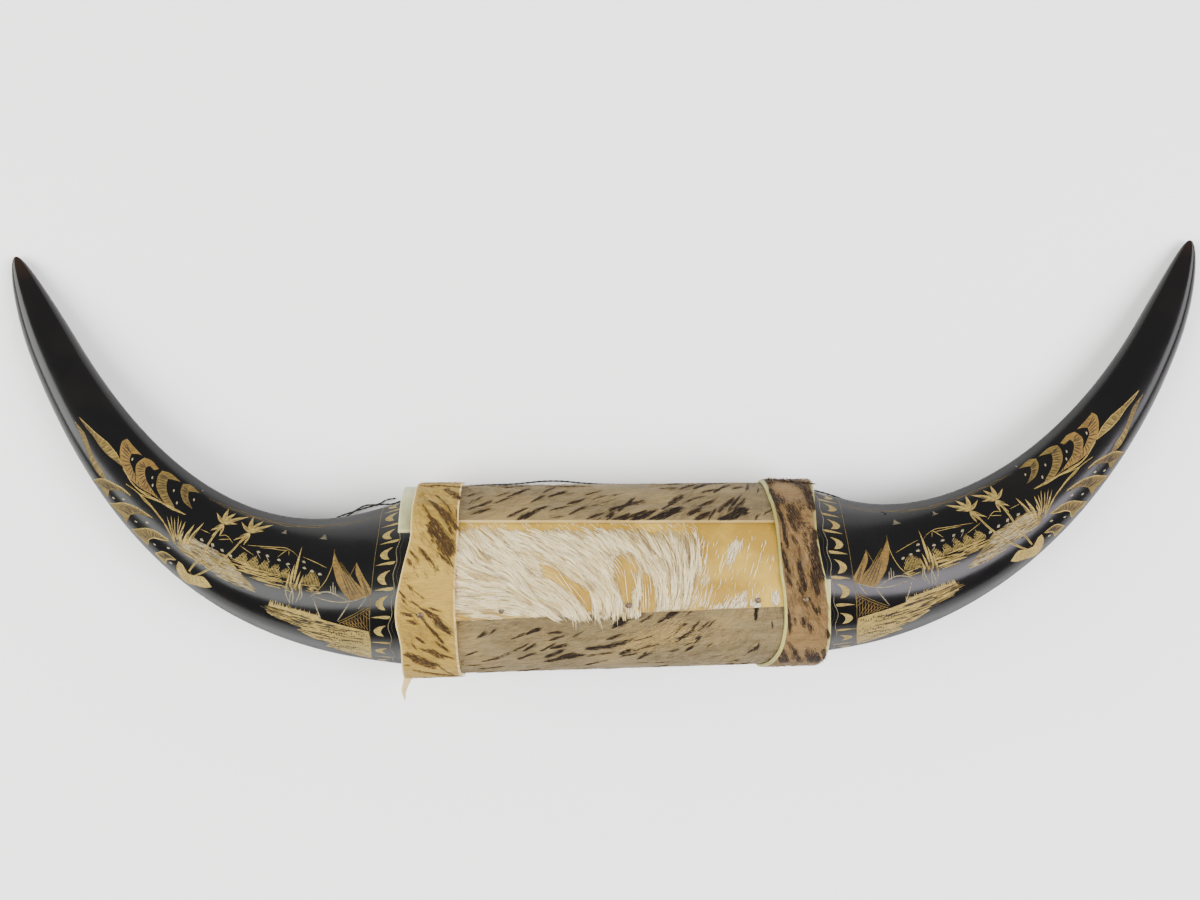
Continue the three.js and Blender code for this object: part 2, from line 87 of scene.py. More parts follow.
def unit(vectors: Array, spare: float = 0.0) -> Array:
    """Return vectors at a length of one; spare saves one of no length from a division by zero."""
    return vectors / (np.linalg.norm(vectors, axis=-1, keepdims=True) + spare)


def travelled(path: Array) -> Array:
    """Return how far along a path each of its points is."""
    return np.concatenate([[0], np.cumsum(np.linalg.norm(np.diff(path, axis=0), axis=1))])


def from_front(angle: Array) -> Array:
    """Return degrees from the front, between -180 and 180."""
    return (np.asarray(angle, dtype=float) + 180) % 360 - 180


def flecks_from(*tenths: float) -> tuple:
    """Return flecks from six numbers each, in tenths of a millimetre, a degree and full strength."""
    sizes = [number / 10 for number in tenths]
    return tuple(zip(*[iter(sizes)] * 6))


# ---- Shader tools ----


class Value:
    """A shader socket that takes part in sums, as numbers do."""

    def __init__(self, shader: "Shader", socket: bpy.types.NodeSocket) -> None:
        """Wrap one output socket of a shader."""
        self.shader = shader
        self.socket = socket

    def _math(self, operation: str, *terms: "Value | float") -> "Value":
        """Add one Math node that works on the terms."""
        sockets = {index: term for index, term in enumerate(terms)}
        return self.shader.node("ShaderNodeMath", {"operation": operation}, sockets)

    def __add__(self, other: "Value | float") -> "Value":
        """Add."""
        return self._math("ADD", self, other)

    def __rsub__(self, other: float) -> "Value":
        """Subtract from a number."""
        return self._math("SUBTRACT", other, self)

    def __mul__(self, other: "Value | float") -> "Value":
        """Multiply."""
        return self._math("MULTIPLY", self, other)

    __radd__ = __add__
    __rmul__ = __mul__


class Shader:
    """One material and the nodes behind its Principled shader."""

    def __init__(self, name: str) -> None:
        """Start a material with an empty Principled shader."""
        self.material = bpy.data.materials.new(name)
        self.material.use_nodes = True
        self.tree = self.material.node_tree
        self.surface = self.tree.nodes["Principled BSDF"]

    def node(self, kind: str, settings: dict | None = None, sockets: dict | None = None,
             output: int | str = 0) -> Value:
        """Add a node.

        Args:
            kind: The node's type.
            settings: Its attributes, which are set first. A ramp's "stops" are pairs of a
                place and a colour.
            sockets: The values or links of its inputs.
            output: The output that is returned.

        Returns:
            The wrapped output.
        """
        made = self.tree.nodes.new(kind)
        for key, value in (settings or {}).items():
            if key == "stops":
                self.set_stops(made.color_ramp, value)
            else:
                setattr(made, key, value)
        for key, value in (sockets or {}).items():
            self.feed(made.inputs[key], value)
        return Value(self, made.outputs[output])

    @staticmethod
    def set_stops(ramp: bpy.types.ColorRamp, stops: Sequence[tuple]) -> None:
        """Give a colour ramp its stops."""
        while len(ramp.elements) < len(stops):
            ramp.elements.new(1.0)
        for element, (place, color) in zip(ramp.elements, stops):
            element.position = place
            element.color = (*color, 1.0)

    def feed(self, socket: bpy.types.NodeSocket, value: "Value | float | tuple") -> None:
        """Link a value to an input, or set it there.

        Args:
            socket: The input.
            value: A wrapped output, a number, or a colour of three numbers.
        """
        if isinstance(value, Value):
            self.tree.links.new(value.socket, socket)
        elif isinstance(value, tuple) and len(value) == 3 and socket.type == "RGBA":
            socket.default_value = (*value, 1.0)
        else:
            socket.default_value = value

    def place(self, turn: tuple = (0.0, 0.0, 0.0), scale: tuple = (1.0, 1.0, 1.0)) -> Value:
        """Return the object's coordinates, turned and scaled."""
        coordinates = self.node("ShaderNodeTexCoord", output="Object")
        sockets = {"Vector": coordinates, "Rotation": turn, "Scale": scale}
        return self.node("ShaderNodeMapping", {}, sockets)

    def noise(self, vector: Value, scale: float, detail: float = 4.0, rough: float = 0.55) -> Value:
        """Return soft noise of a scale per metre."""
        sockets = {"Vector": vector, "Scale": scale, "Detail": detail, "Roughness": rough}
        return self.node("ShaderNodeTexNoise", {}, sockets)

    def ramp(self, share: Value, stops: Sequence[tuple]) -> Value:
        """Turn a share into a colour by its stops."""
        return self.node("ShaderNodeValToRGB", {"stops": stops}, {"Fac": share})

    def mask(self, share: Value, start: float, end: float) -> Value:
        """Return 0 below start and 1 above end."""
        sockets = {"Value": share, "From Min": start, "From Max": end}
        return self.node("ShaderNodeMapRange", {"clamp": True}, sockets)

    def mix(self, share: "Value | float", first: "Value | tuple", second: "Value | tuple") -> Value:
        """Mix two colours."""
        return self.node("ShaderNodeMixRGB", {}, {"Fac": share, "Color1": first, "Color2": second})

    def bump(self, height: Value, distance: float, strength: float = 1.0) -> Value:
        """Turn a height into a normal; the distance is in metres."""
        sockets = {"Height": height, "Distance": distance, "Strength": strength}
        return self.node("ShaderNodeBump", {}, sockets)

    def finish(self, **sockets: "Value | float | tuple") -> Material:
        """Feed the Principled shader's sockets, whose names have _ for a space."""
        for key, value in sockets.items():
            self.feed(self.surface.inputs[key.replace("_", " ")], value)
        return self.material


# ---- Finishes ----


class Slot(Enum):
    """Names of material slots that the new pieces are handed; nothing reads them."""

    HORN = "polished_horn"
    BRINDLE = "brindled_hide"
    FUR = "white_fur"
    TAN = "tan_hide"
    BROWN = "brown_hide"
    RAWHIDE = "rawhide"
    TWINE = "black_twine"


@dataclass(frozen=True)
class PolishedHorn:
    """Black horn under a hand polish, a little brown where it thins."""

    name: str
    black: tuple = (0.0026, 0.0026, 0.0028)
    brown: tuple = (0.009, 0.0068, 0.0055)
    end_brown: tuple = (0.017, 0.009, 0.006)
    roughness: float = 0.19
    tip_reach: tuple = (0.02, 0.13)  # metres towards the tips over which the polish grows
    end_reach: tuple = (0.109, 0.126)  # and over which the ends turn brown
    side_turn: tuple = (0.30, 0.66)  # how far up the duller sides look, and the polished front

    def material(self) -> Material:
        """Make the material."""
        shader = Shader(self.name)
        grain = shader.noise(shader.place(scale=(1.0, 1.0, 3.0)), 26.0, 5.0)
        height = shader.node("ShaderNodeSeparateXYZ", {}, {"Vector": shader.place()}, output="Y")
        tips = shader.mask(height, *self.tip_reach)
        brown = shader.mask(grain, 0.48, 0.78) * 0.45 + tips * 0.3
        scuffs = shader.noise(shader.place(), 900.0, 3.0)
        wear = shader.noise(shader.place(), 60.0, 4.0)
        facing = shader.node("ShaderNodeNewGeometry", output="Normal")
        upward = shader.node("ShaderNodeSeparateXYZ", {}, {"Vector": facing}, output="Z")
        sides = 1.0 - shader.mask(upward, *self.side_turn)
        return shader.finish(
            Base_Color=shader.mix(shader.mask(height, *self.end_reach),
                                  shader.mix(brown, self.black, self.brown), self.end_brown),
            Roughness=wear * 0.12 + (self.roughness - 0.04) + tips * -0.09 + sides * (1.0 - tips) * 0.38,
            Normal=shader.bump(scuffs, 0.00002, 0.25),
            IOR=1.28,
        )


@dataclass(frozen=True)
class CutHorn:
    """The bottom of an engraved line or of a scraped patch."""

    name: str
    pale: tuple
    dark: tuple

    def material(self) -> Material:
        """Make the material."""
        shader = Shader(self.name)
        scrapes = shader.noise(shader.place(scale=(0.25, 1.0, 1.0)), 1500.0, 3.0)
        patches = shader.noise(shader.place(), 120.0, 3.0)
        share = shader.mask(scrapes * 0.7 + patches * 0.3, 0.36, 0.6)
        return shader.finish(
            Base_Color=shader.mix(share, self.dark, self.pale),
            Roughness=0.62,
            Normal=shader.bump(scrapes, 0.0001, 0.5),
            IOR=1.32,
        )


@dataclass(frozen=True)
class HideSkin:
    """Hide with short hair pressed flat: fine fibres, blotches and a few stains."""

    name: str
    pale: tuple
    deep: tuple
    stain: tuple
    lie: float  # degrees that the fibres run above the roll's length
    stained: float = 0.35
    roughness: float = 0.72

    def material(self) -> Material:
        """Make the material."""
        shader = Shader(self.name)
        turn = (0.0, 0.0, -np.radians(self.lie))
        fibres = shader.noise(shader.place(turn, (0.12, 1.0, 0.6)), 1700.0, 3.0, 0.7)
        streaks = shader.noise(shader.place(turn, (0.3, 1.0, 1.0)), 190.0, 4.0)
        blotches = shader.noise(shader.place(), 34.0, 4.0)
        base = shader.ramp(fibres * 0.45 + streaks * 0.3 + blotches * 0.25, [
            (0.40, self.deep), (0.59, self.pale)])
        stain = shader.mask(blotches, 0.52, 0.72) * self.stained
        return shader.finish(
            Base_Color=shader.mix(stain, base, self.stain),
            Roughness=fibres * 0.2 + (self.roughness - 0.1),
            Normal=shader.bump(fibres * 0.6 + streaks * 0.4, 0.0006, 0.55),
            IOR=1.3,
        )


@dataclass(frozen=True)
class BareSkin:
    """Scraped, oily hide with pores and fine creases."""

    name: str
    pale: tuple
    deep: tuple
    edge: tuple
    roughness: float = 0.5

    def material(self) -> Material:
        """Make the material."""
        shader = Shader(self.name)
        clouds = shader.noise(shader.place(), 30.0, 5.0)
        pores = shader.noise(shader.place(), 1100.0, 2.0)
        creases = shader.noise(shader.place((0.0, 0.0, 0.6), (1.0, 0.35, 1.0)), 240.0, 4.0)
        base = shader.mix(shader.mask(clouds, 0.41, 0.59), self.deep, self.pale)
        spots = shader.mask(shader.noise(shader.place(), 420.0, 2.0), 0.62, 0.74)
        return shader.finish(
            Base_Color=shader.mix(spots * 0.3, base, self.edge),
            Roughness=clouds * 0.2 + (self.roughness - 0.1),
            Normal=shader.bump(pores * 0.4 + creases * 0.6, 0.0004, 0.4),
            IOR=1.34,
        )


@dataclass(frozen=True)
class Shade:
    """One tone of hair, dyed through and a little glossy."""

    name: str
    color: tuple
    roughness: float = 0.6

    def material(self) -> Material:
        """Make the material."""
        return Shader(self.name).finish(Base_Color=self.color, Roughness=self.roughness, IOR=1.3)


def dye(shades: dict[str, tuple]) -> list[Material]:
    """Make a tone of hair for each named colour."""
    return [Shade(name, color).material() for name, color in shades.items()]


@dataclass(frozen=True)
class Metal:
    """Worn metal with small stains."""

    name: str
    bright: tuple
    dull: tuple
    roughness: float
    metallic: float = 0.8

    def material(self) -> Material:
        """Make the material."""
        shader = Shader(self.name)
        stains = shader.noise(shader.place(), 700.0, 4.0)
        return shader.finish(
            Base_Color=shader.mix(shader.mask(stains, 0.4, 0.6), self.dull, self.bright),
            Roughness=stains * 0.3 + (self.roughness - 0.15),
            Metallic=self.metallic,
            Normal=shader.bump(stains, 0.0001, 0.3),
        )


@dataclass(frozen=True)
class Timber:
    """Plain sawn wood with its grain along the roll."""

    name: str = "sawn_wood"

    def material(self) -> Material:
        """Make the material."""
        shader = Shader(self.name)
        grain = shader.noise(shader.place(scale=(0.06, 1.0, 1.0)), 300.0, 5.0)
        color = shader.ramp(grain, [(0.3, (0.22, 0.12, 0.05)), (0.7, (0.5, 0.33, 0.17))])
        return shader.finish(Base_Color=color, Roughness=0.75, Normal=shader.bump(grain, 0.0004))


@dataclass(frozen=True)
class Twine:
    """Black twisted twine; its fibres follow the cord's own UV map."""

    name: str = "twisted_twine"

    def material(self) -> Material:
        """Make the material."""
        shader = Shader(self.name)
        uv = shader.node("ShaderNodeUVMap", {"uv_map": "OFBake"})
        fibres = shader.noise(shader.node("ShaderNodeMapping", {}, {
            "Vector": uv, "Scale": (900.0, 12.0, 1.0)}), 1.0, 3.0)
        color = shader.ramp(fibres, [(0.3, (0.008, 0.008, 0.009)), (0.75, (0.05, 0.048, 0.045))])
        return shader.finish(Base_Color=color, Roughness=0.6, Normal=shader.bump(fibres, 0.0001))


# ---- Meshes ----


def put(name: str, data: bpy.types.ID) -> Object:
    """Make an object of a mesh, a light or a camera, and put it into the scene."""
    made = bpy.data.objects.new(name, data)
    bpy.context.scene.collection.objects.link(made)
    return made


def build_mesh(name: str, points: Array, faces: Iterable, materials: Sequence[Material],
               slots: Sequence[int] | None = None) -> Object:
    """Make an object of a skin in millimetres.

    Args:
        name: The piece's name.
        points: Its points, in millimetres from the roll's middle.
        faces: Its faces, as point indices.
        materials: The materials of its slots.
        slots: Each face's slot, or None where all are in the first.

    Returns:
        The smooth-shaded object at the origin.
    """
    mesh = bpy.data.meshes.new(name)
    mesh.from_pydata(to_part(points).tolist(), [], faces)
    for material in materials:
        mesh.materials.append(material)
    mesh.polygons.foreach_set("use_smooth", [True] * len(mesh.polygons))
    if slots is not None:
        mesh.polygons.foreach_set("material_index", np.asarray(slots, dtype=np.int32))
    mesh.update()
    return put(name, mesh)


def stand_in_for(made: Object, slot: Slot, *nodes: str) -> Object:
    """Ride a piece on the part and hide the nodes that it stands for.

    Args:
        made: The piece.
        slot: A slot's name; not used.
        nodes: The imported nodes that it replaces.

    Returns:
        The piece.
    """
    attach(made, "root")
    if nodes:
        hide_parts(*nodes)
    return made


def flip_if_inside_out(points: Array, faces: list) -> list:
    """Turn the faces of a closed skin so that they point outwards.

    Args:
        points: Its points.
        faces: Its faces, all turned the same way.

    Returns:
        The faces.
    """
    volume = 0.0
    for face in faces:
        first = points[face[0]]
        for b, c in zip(face[1:], face[2:]):
            volume += float(np.dot(first, np.cross(points[b], points[c])))
    return [face[::-1] for face in faces] if volume < 0 else faces


def tube_faces(points: Array, sides: int) -> list:
    """Close a tube.

    Args:
        points: Its points, ring by ring.
        sides: How many points a ring has.

    Returns:
        Its faces and both ends.
    """
    faces = []
    for i in range(0, len(points) - sides, sides):
        for k in range(sides):
            a, b = i + k, i + (k + 1) % sides
            faces.append((a, b, b + sides, a + sides))
    faces += [tuple(range(sides))[::-1], tuple(range(len(points) - sides, len(points)))]
    return flip_if_inside_out(points, faces)


# ---- The roll and what is wrapped round it ----


@dataclass(frozen=True)
class Roll:
    """The round roll with a flat back. Angles run from its front towards the horn tips."""

    axis_height: float = 42.0
    radius: float = 47.3
    taper: float = 0.0103
    flat: float = 38.0
    half_length: float = 101.5

    def point(self, x: Array, angle: Array, lift: Array | float) -> Array:
        """Return the points at a height over the wood.

        Args:
            x: Places along the roll.
            angle: Degrees round it.
            lift: Heights over the wood.

        Returns:
            The points, with a last axis of three.
        """
        x, angle, lift = np.broadcast_arrays(*(np.asarray(v, dtype=float) for v in (x, angle, lift)))
        turned = np.radians(angle)
        rounded = self.radius - self.taper * x + lift
        back = self.flat + lift
        down = -np.cos(turned)
        reach = np.where(down * rounded > back, back / np.maximum(down, 1e-6), rounded)
        return np.stack([x, np.sin(turned) * reach, self.axis_height + np.cos(turned) * reach], -1)

    def degrees(self, distance: Array | float) -> Array | float:
        """Turn millimetres round the roll into degrees."""
        return np.degrees(np.asarray(distance) / (self.radius + 2.0))


ROLL = Roll()
LOW_SKEW = 0.023  # degrees that the panel's edges turn for each mm along the roll
TOP_SKEW = -0.021
PANEL_LOW = -18.8  # degrees from the front to the panel's lower edge


@dataclass(frozen=True)
class Layer:
    """A hide's heights over the wood, with the places where it climbs over another's edge."""

    under: float
    thick: float
    lifted: float = 2.1
    humps: tuple = ()  # (start, full, full until, flush), in degrees, and the skew

    def rise(self, x: Array, angle: Array) -> Array:
        """Return how far the layer is lifted.

        Args:
            x: Places along the roll.
            angle: Degrees round it.

        Returns:
            The lift at each place, in millimetres.
        """
        turned = from_front(angle)
        total = np.zeros(np.broadcast(x, turned).shape)
        for start, full, until, flush, skew in self.humps:
            place = turned - skew * np.asarray(x)
            bump = smoothstep(place, start, full) * (1 - smoothstep(place, until, flush))
            total = np.maximum(total, bump)
        return total * self.lifted

    def top(self, x: Array, angle: Array) -> Array:
        """Return the height of the hide's outer face."""
        return self.under + self.thick + self.rise(x, angle)


TOP_HUMP = (28.0, 37.0, 46.0, 60.0, TOP_SKEW)
LOW_HUMP = (-27.8, PANEL_LOW, -9.0, 5.0, LOW_SKEW)
WRAP_LAYER = Layer(0.3, 1.8, humps=((20.0, 30.0, 46.0, 53.0, TOP_SKEW),))
PANEL_LAYER = Layer(0.3, 1.8, humps=((-40.0, -30.0, -9.0, -2.0, LOW_SKEW),))
COLLAR_LAYER = Layer(2.4, 1.6, humps=(TOP_HUMP, LOW_HUMP))
LINING_LAYER = Layer(0.3, 1.8)


@dataclass(frozen=True)
class Hide:
    """A piece of hide on the roll, with a rounded, pale cut edge.

    The edges across the roll are functions of the angle, and the edges along it are functions
    of X. A ring has no edges along the roll.
    """

    name: str
    layer: Layer
    left: EdgeLine
    right: EdgeLine
    low: EdgeLine
    high: EdgeLine
    ring: bool = False
    cut: float = 1.0  # width of the rounded edge
    waves: float = 0.18
    step: float = 3.0
    seed: int = 1
    edge_height: float = 0.25  # the rounded edge's share of the thickness at its very rim
    calm: float = 6.0  # the waves fade out within this distance of an edge

    @classmethod
    def straight(cls, name: str, layer: Layer, across: tuple, along: tuple,
                 skews: tuple = (0.0, 0.0), **more: float) -> "Hide":
        """Lay out a hide between fixed places.

        Args:
            name: The piece's name.
            layer: Its heights.
            across: Where it begins and ends along the roll.
            along: The degrees at which its long edges run.
            skews: How much those edges turn for each millimetre along the roll.
            more: Its other sizes.

        Returns:
            The hide.
        """
        return cls(name, layer, lambda angle: across[0] + 0 * angle, lambda angle: across[1] + 0 * angle,
                   lambda x: along[0] + skews[0] * x, lambda x: along[1] + skews[1] * x, **more)

    def _stations(self, length: float, closed: bool) -> Array:
        """Share out the stations across a hide, close together near its cut edges.

        Args:
            length: The hide's length that way.
            closed: Whether it closes on itself, with no cut edge.

        Returns:
            Shares from 0 to 1.
        """
        count = max(4, int(length / self.step))
        if closed:
            return np.arange(count) / count
        edge = np.array([0.0, 0.15, 0.4, 0.7, 1.0]) * self.cut / length
        middle = np.linspace(edge[-1], 1 - edge[-1], count)
        return np.concatenate([edge[:-1], middle, 1 - edge[-2::-1]])

    def _waves(self, x: Array, angle: Array) -> Array:
        """Return the slight unevenness of a hide that was wet when it was wrapped.

        Args:
            x: Places along the roll.
            angle: Degrees round it.

        Returns:
            The height at each place.
        """
        random = np.random.default_rng(self.seed)
        total = np.zeros(x.shape)
        for _ in range(7):
            along, round_ = random.uniform(0.02, 0.12), random.integers(2, 9)
            total += np.sin(along * x + np.radians(round_ * angle) + random.uniform(0, 6.3))
        return total * self.waves / 3

    def build(self, face: Material, edge: Material) -> Object:
        """Make the hide.

        Args:
            face: The finish of its faces.
            edge: The finish of its cut edges.

        Returns:
            The object.
        """
        middle = np.array(0.0)
        width = float(abs(self.right(middle) - self.left(middle)))
        height = float(np.radians(self.high(middle) - self.low(middle)) * ROLL.radius)
        u = self._stations(width, False)[:, None]
        v = self._stations(height, self.ring)[None, :]
        angle = self.low(middle) + v * (self.high(middle) - self.low(middle))
        x = self.left(angle) + u * (self.right(angle) - self.left(angle))
        low, high = self.low(x), self.high(x)
        angle = low + v * (high - low)
        distance = np.minimum(u, 1 - u) * width + 0 * v
        if not self.ring:
            distance = np.minimum(distance, np.minimum(v, 1 - v) * height)
        share = np.clip(distance / self.cut, 0, 1)
        rounded = self.edge_height + (1 - self.edge_height) * np.sqrt(1 - (1 - share) ** 2)
        rise = self.layer.rise(x, angle)
        under = self.layer.under + rise
        waves = self._waves(x, angle) * smoothstep(distance, 0, self.calm)
        top = ROLL.point(x, angle, under + self.layer.thick * rounded + waves)
        bottom = ROLL.point(x, angle, under)
        return self._skin(top, bottom, share, face, edge)

    def _skin(self, top: Array, bottom: Array, share: Array, face: Material,
              edge: Material) -> Object:
        """Close the outer and inner face by walls, and mark the cut edges.

        Args:
            top: The outer face's points, in rows along the roll.
            bottom: The inner face's points.
            share: How far inside the rounded edge each point is, from 0 to 1.
            face: The finish of the faces.
            edge: The finish of the cut edges.

        Returns:
            The object.
        """
        rows, columns = top.shape[:2]
        number = np.arange(rows * columns).reshape(rows, columns)
        under = number + rows * columns
        faces, slots = [], []
        spans = columns if self.ring else columns - 1
        for i in range(rows - 1):
            for j in range(spans):
                k = (j + 1) % columns
                faces.append((number[i, j], number[i + 1, j], number[i + 1, k], number[i, k]))
                slots.append(int(min(share[i, j], share[i + 1, j], share[i, k]) < 0.999))
                faces.append((under[i, k], under[i + 1, k], under[i + 1, j], under[i, j]))
                slots.append(0)
        for j in range(spans):
            k = (j + 1) % columns
            faces.append((number[0, k], under[0, k], under[0, j], number[0, j]))
            faces.append((number[-1, j], under[-1, j], under[-1, k], number[-1, k]))
            slots += [1, 1]
        if not self.ring:
            for i in range(rows - 1):
                faces.append((number[i, 0], under[i, 0], under[i + 1, 0], number[i + 1, 0]))
                faces.append((number[i + 1, -1], under[i + 1, -1], under[i, -1], number[i, -1]))
                slots += [1, 1]
        points = np.concatenate([top.reshape(-1, 3), bottom.reshape(-1, 3)])
        faces = [tuple(int(index) for index in one) for one in faces]
        faces = flip_if_inside_out(points, faces)
        return build_mesh(self.name, points, faces, [face, edge], slots)


# ---- Hair ----


@dataclass
class Hairs:
    """Tapered hairs that lie on the roll; each is a closed, three-sided spike."""

    TRIAL_STEPS = 14  # how finely a hair feels for the place where it has to stop
    SHORTEST = 1.2  # a hair that is stopped sooner isn't grown
    SAG_REACH = 6.0  # degrees past the edge over which the tips sink

    name: str
    layer: Layer
    steps: int
    sag: float = 0.0  # how far the tips sink past the layer's edge
    parts: list = field(default_factory=list)
    shades: list = field(default_factory=list)

    def plant(self, x: Array, angle: Array, lie: OverRoll, length: Array,
              radius: Array, root: float, arch: Array, tip: Array, shade: Array,
              stop: OverRoll | None = None) -> None:
        """Grow one batch of hairs.

        Args:
            x: The roots' places along the roll.
            angle: Their degrees round it.
            lie: The hairs' direction at a place, in degrees below the roll's length.
            length: Their lengths.
            radius: Their radii at the root.
            root: How far the roots stand over the skin.
            arch: How much higher their middles stand.
            tip: How much higher their tips stand.
            shade: Each hair's slot.
            stop: Tells where a hair that reaches there ends, if any does.
        """
        if not len(x):
            return
        length = np.array(length, dtype=float)
        if stop:
            steps = self.TRIAL_STEPS
            hit = stop(*self._paths(x, angle, lie, length, steps))
            length = length * np.where(hit.any(axis=1), hit.argmax(axis=1) - 1, steps) / steps
        path_x, path_angle = self._paths(x, angle, lie, length, self.steps)
        keep = length > self.SHORTEST
        path_x, path_angle = path_x[keep], path_angle[keep]
        share = np.linspace(0, 1, self.steps + 1)[None, :]
        height = root + arch[keep][:, None] * np.sin(np.pi * share) + tip[keep][:, None] * share
        lift = self.layer.top(path_x, path_angle) + height
        if self.sag:
            past = PANEL_LOW + LOW_SKEW * path_x - path_angle
            lift -= self.sag * smoothstep(past, 0, self.SAG_REACH)
        points = ROLL.point(path_x, path_angle, lift)
        turned = np.radians(path_angle)
        outward = np.stack([0 * turned, np.sin(turned), np.cos(turned)], -1)
        way = np.gradient(points, axis=1)
        side = unit(np.cross(way, outward))
        thick = radius[keep][:, None] * np.sqrt(1 - share ** 2)
        rings = np.stack([
            points + outward * (0.8 * thick)[..., None],
            points + (side - outward * 0.4) * thick[..., None],
            points - (side + outward * 0.4) * thick[..., None],
        ], axis=2)
        body = rings[:, :-1].reshape(len(points), -1, 3)
        self.parts.append(np.concatenate([body, points[:, -1:]], axis=1))
        self.shades.append(np.asarray(shade)[keep])

    @staticmethod
    def _paths(x: Array, angle: Array, lie: OverRoll, length: Array, steps: int) -> tuple[Array, Array]:
        """Follow the hair's lie from each root.

        Args:
            x: The roots' places along the roll.
            angle: Their degrees round it.
            lie: The hairs' direction at a place.
            length: Their lengths.
            steps: In how many steps each is followed.

        Returns:
            The places along the roll and the degrees, a row for each hair.
        """
        place_x, place_angle = np.array(x, dtype=float), np.array(angle, dtype=float)
        path_x, path_angle = [place_x.copy()], [place_angle.copy()]
        for _ in range(steps):
            way = np.radians(lie(place_x, place_angle))
            place_x = place_x + np.cos(way) * length / steps
            place_angle = place_angle - ROLL.degrees(np.sin(way) * length / steps)
            path_x.append(place_x)
            path_angle.append(place_angle)
        return np.stack(path_x, 1), np.stack(path_angle, 1)

    def build(self, materials: Sequence[Material]) -> Object:
        """Make one object of all the hairs.

        Args:
            materials: The shades' finishes.

        Returns:
            The object.
        """
        points = np.concatenate(self.parts)
        shades = np.concatenate(self.shades)
        count, size = points.shape[:2]
        one = []
        for ring in range(self.steps - 1):
            for side in range(3):
                a, b = 3 * ring + side, 3 * ring + (side + 1) % 3
                one += [(a, b, b + 3), (a, b + 3, a + 3)]
        last = 3 * (self.steps - 1)
        one += [(last + side, last + (side + 1) % 3, size - 1) for side in range(3)]
        one.append((2, 1, 0))
        one = flip_if_inside_out(points[0], one)
        faces = (np.arange(count)[:, None, None] * size + np.array(one)[None]).reshape(-1, 3)
        slots = np.repeat(shades, len(one))
        made = build_mesh(self.name, points.reshape(-1, 3), faces.tolist(), materials, slots)
        LOG.info("%s: %d hairs, %d triangles", self.name, count, len(faces))
        return made


# ---- Horns ----


class Cut(Enum):
    """What a drawn shape leaves on the horn."""

    POLISH = 0
    STRAW = 1
    GOLD = 2
    RUSSET = 3
    WHITE = 4
    SHADE = 5


@dataclass
class Horn:
    """One horn: a curved middle line with three-sided sections that thin towards the tip."""

    name: str
    side: int
    line: tuple
    start: float
    loss: float
    flare: float
    flare_end: float
    base_height: float = 43.8
    tip_height: float = 4.47
    fall: float = 1.6
    tip_start: float = 0.84
    square_end: float = 0.15
    depth: tuple = (0.93, -0.46, 0.48)
    ridge: tuple = (0.055, -0.02)
    ridge_angle: tuple = (8.0, 55.0)
    stations: int = 150
    tip_stations: int = 14
    columns: int = 72
    patch_columns: int = 21  # columns to each side of the front that the engraving may reach
    patch_end: float = 236.0

    def middle(self, t: Array) -> tuple[Array, Array]:
        """Follow the middle line.

        Args:
            t: Places on it, from 0 to 1.

        Returns:
            Its plan points and its directions there.
        """
        a, b, c, d = (np.array(point) for point in self.line)
        t = np.asarray(t, dtype=float)[..., None]
        rest = 1 - t
        place = rest ** 3 * a + 3 * rest ** 2 * t * b + 3 * rest * t ** 2 * c + t ** 3 * d
        way = rest ** 2 * (b - a) + 2 * rest * t * (c - b) + t ** 2 * (d - c)
        return place, unit(way)

    def height(self, t: Array) -> Array:
        """Return the middle line's height."""
        return self.base_height - (self.base_height - self.tip_height) * np.asarray(t) ** self.fall

    def half_width(self, t: Array) -> Array:
        """Return half the horn's width before its tip is rounded."""
        return self.start - self.loss * t + self.flare * np.exp(-t / self.flare_end)

    def surface(self, t: Array, angle: Array, blunt: Array | float = 1.0) -> Array:
        """Return points on the horn.

        Args:
            t: Places on the middle line, from 0 to 1.
            angle: Radians from the front towards the outer curve.
            blunt: The tip's rounding, which shrinks the sections.

        Returns:
            The points, with a last axis of three.
        """
        t, angle = np.broadcast_arrays(np.asarray(t, dtype=float), np.asarray(angle, dtype=float))
        place, way = self.middle(t)
        bend = smoothstep(t, 0, self.square_end)[..., None]
        way = unit(way * bend + np.array([1.0, 0.0]) * (1 - bend))
        outward = np.stack([way[..., 1], -way[..., 0]], -1)
        wide = self.half_width(t) * blunt
        deep = wide * (self.depth[0] + self.depth[1] * t + self.depth[2] * t * t)
        ridge = self.ridge[0] + self.ridge[1] * t
        ridge_angle = np.radians(self.ridge_angle[0] + self.ridge_angle[1] * t)
        swell = 1 + ridge * np.cos(3 * (angle - ridge_angle))
        across = wide * (ridge * np.sin(3 * ridge_angle) + np.sin(angle) * swell)
        plan = place + outward * across[..., None]
        height = self.height(t) + deep * np.cos(angle) * swell
        return np.stack([self.side * plan[..., 0], plan[..., 1], height], -1)

    def normal(self, t: Array, angle: Array) -> Array:
        """Return the outward directions.

        Args:
            t: Places on the middle line, from 0 to 1.
            angle: Radians from the front towards the outer curve.

        Returns:
            A direction of length one at each place.
        """
        tiny = 1e-4
        early = np.clip(t - tiny, 0, 1)
        along = self.surface(early + 2 * tiny, angle) - self.surface(early, angle)
        around = self.surface(t, angle + tiny) - self.surface(t, angle - tiny)
        out = unit(np.cross(along, around) * self.side)
        place, _ = self.middle(t)
        centre = np.stack([self.side * place[..., 0], place[..., 1], self.height(t)], -1)
        away = ((self.surface(t, angle) - centre) * out).sum(-1, keepdims=True)
        return out * np.sign(away)


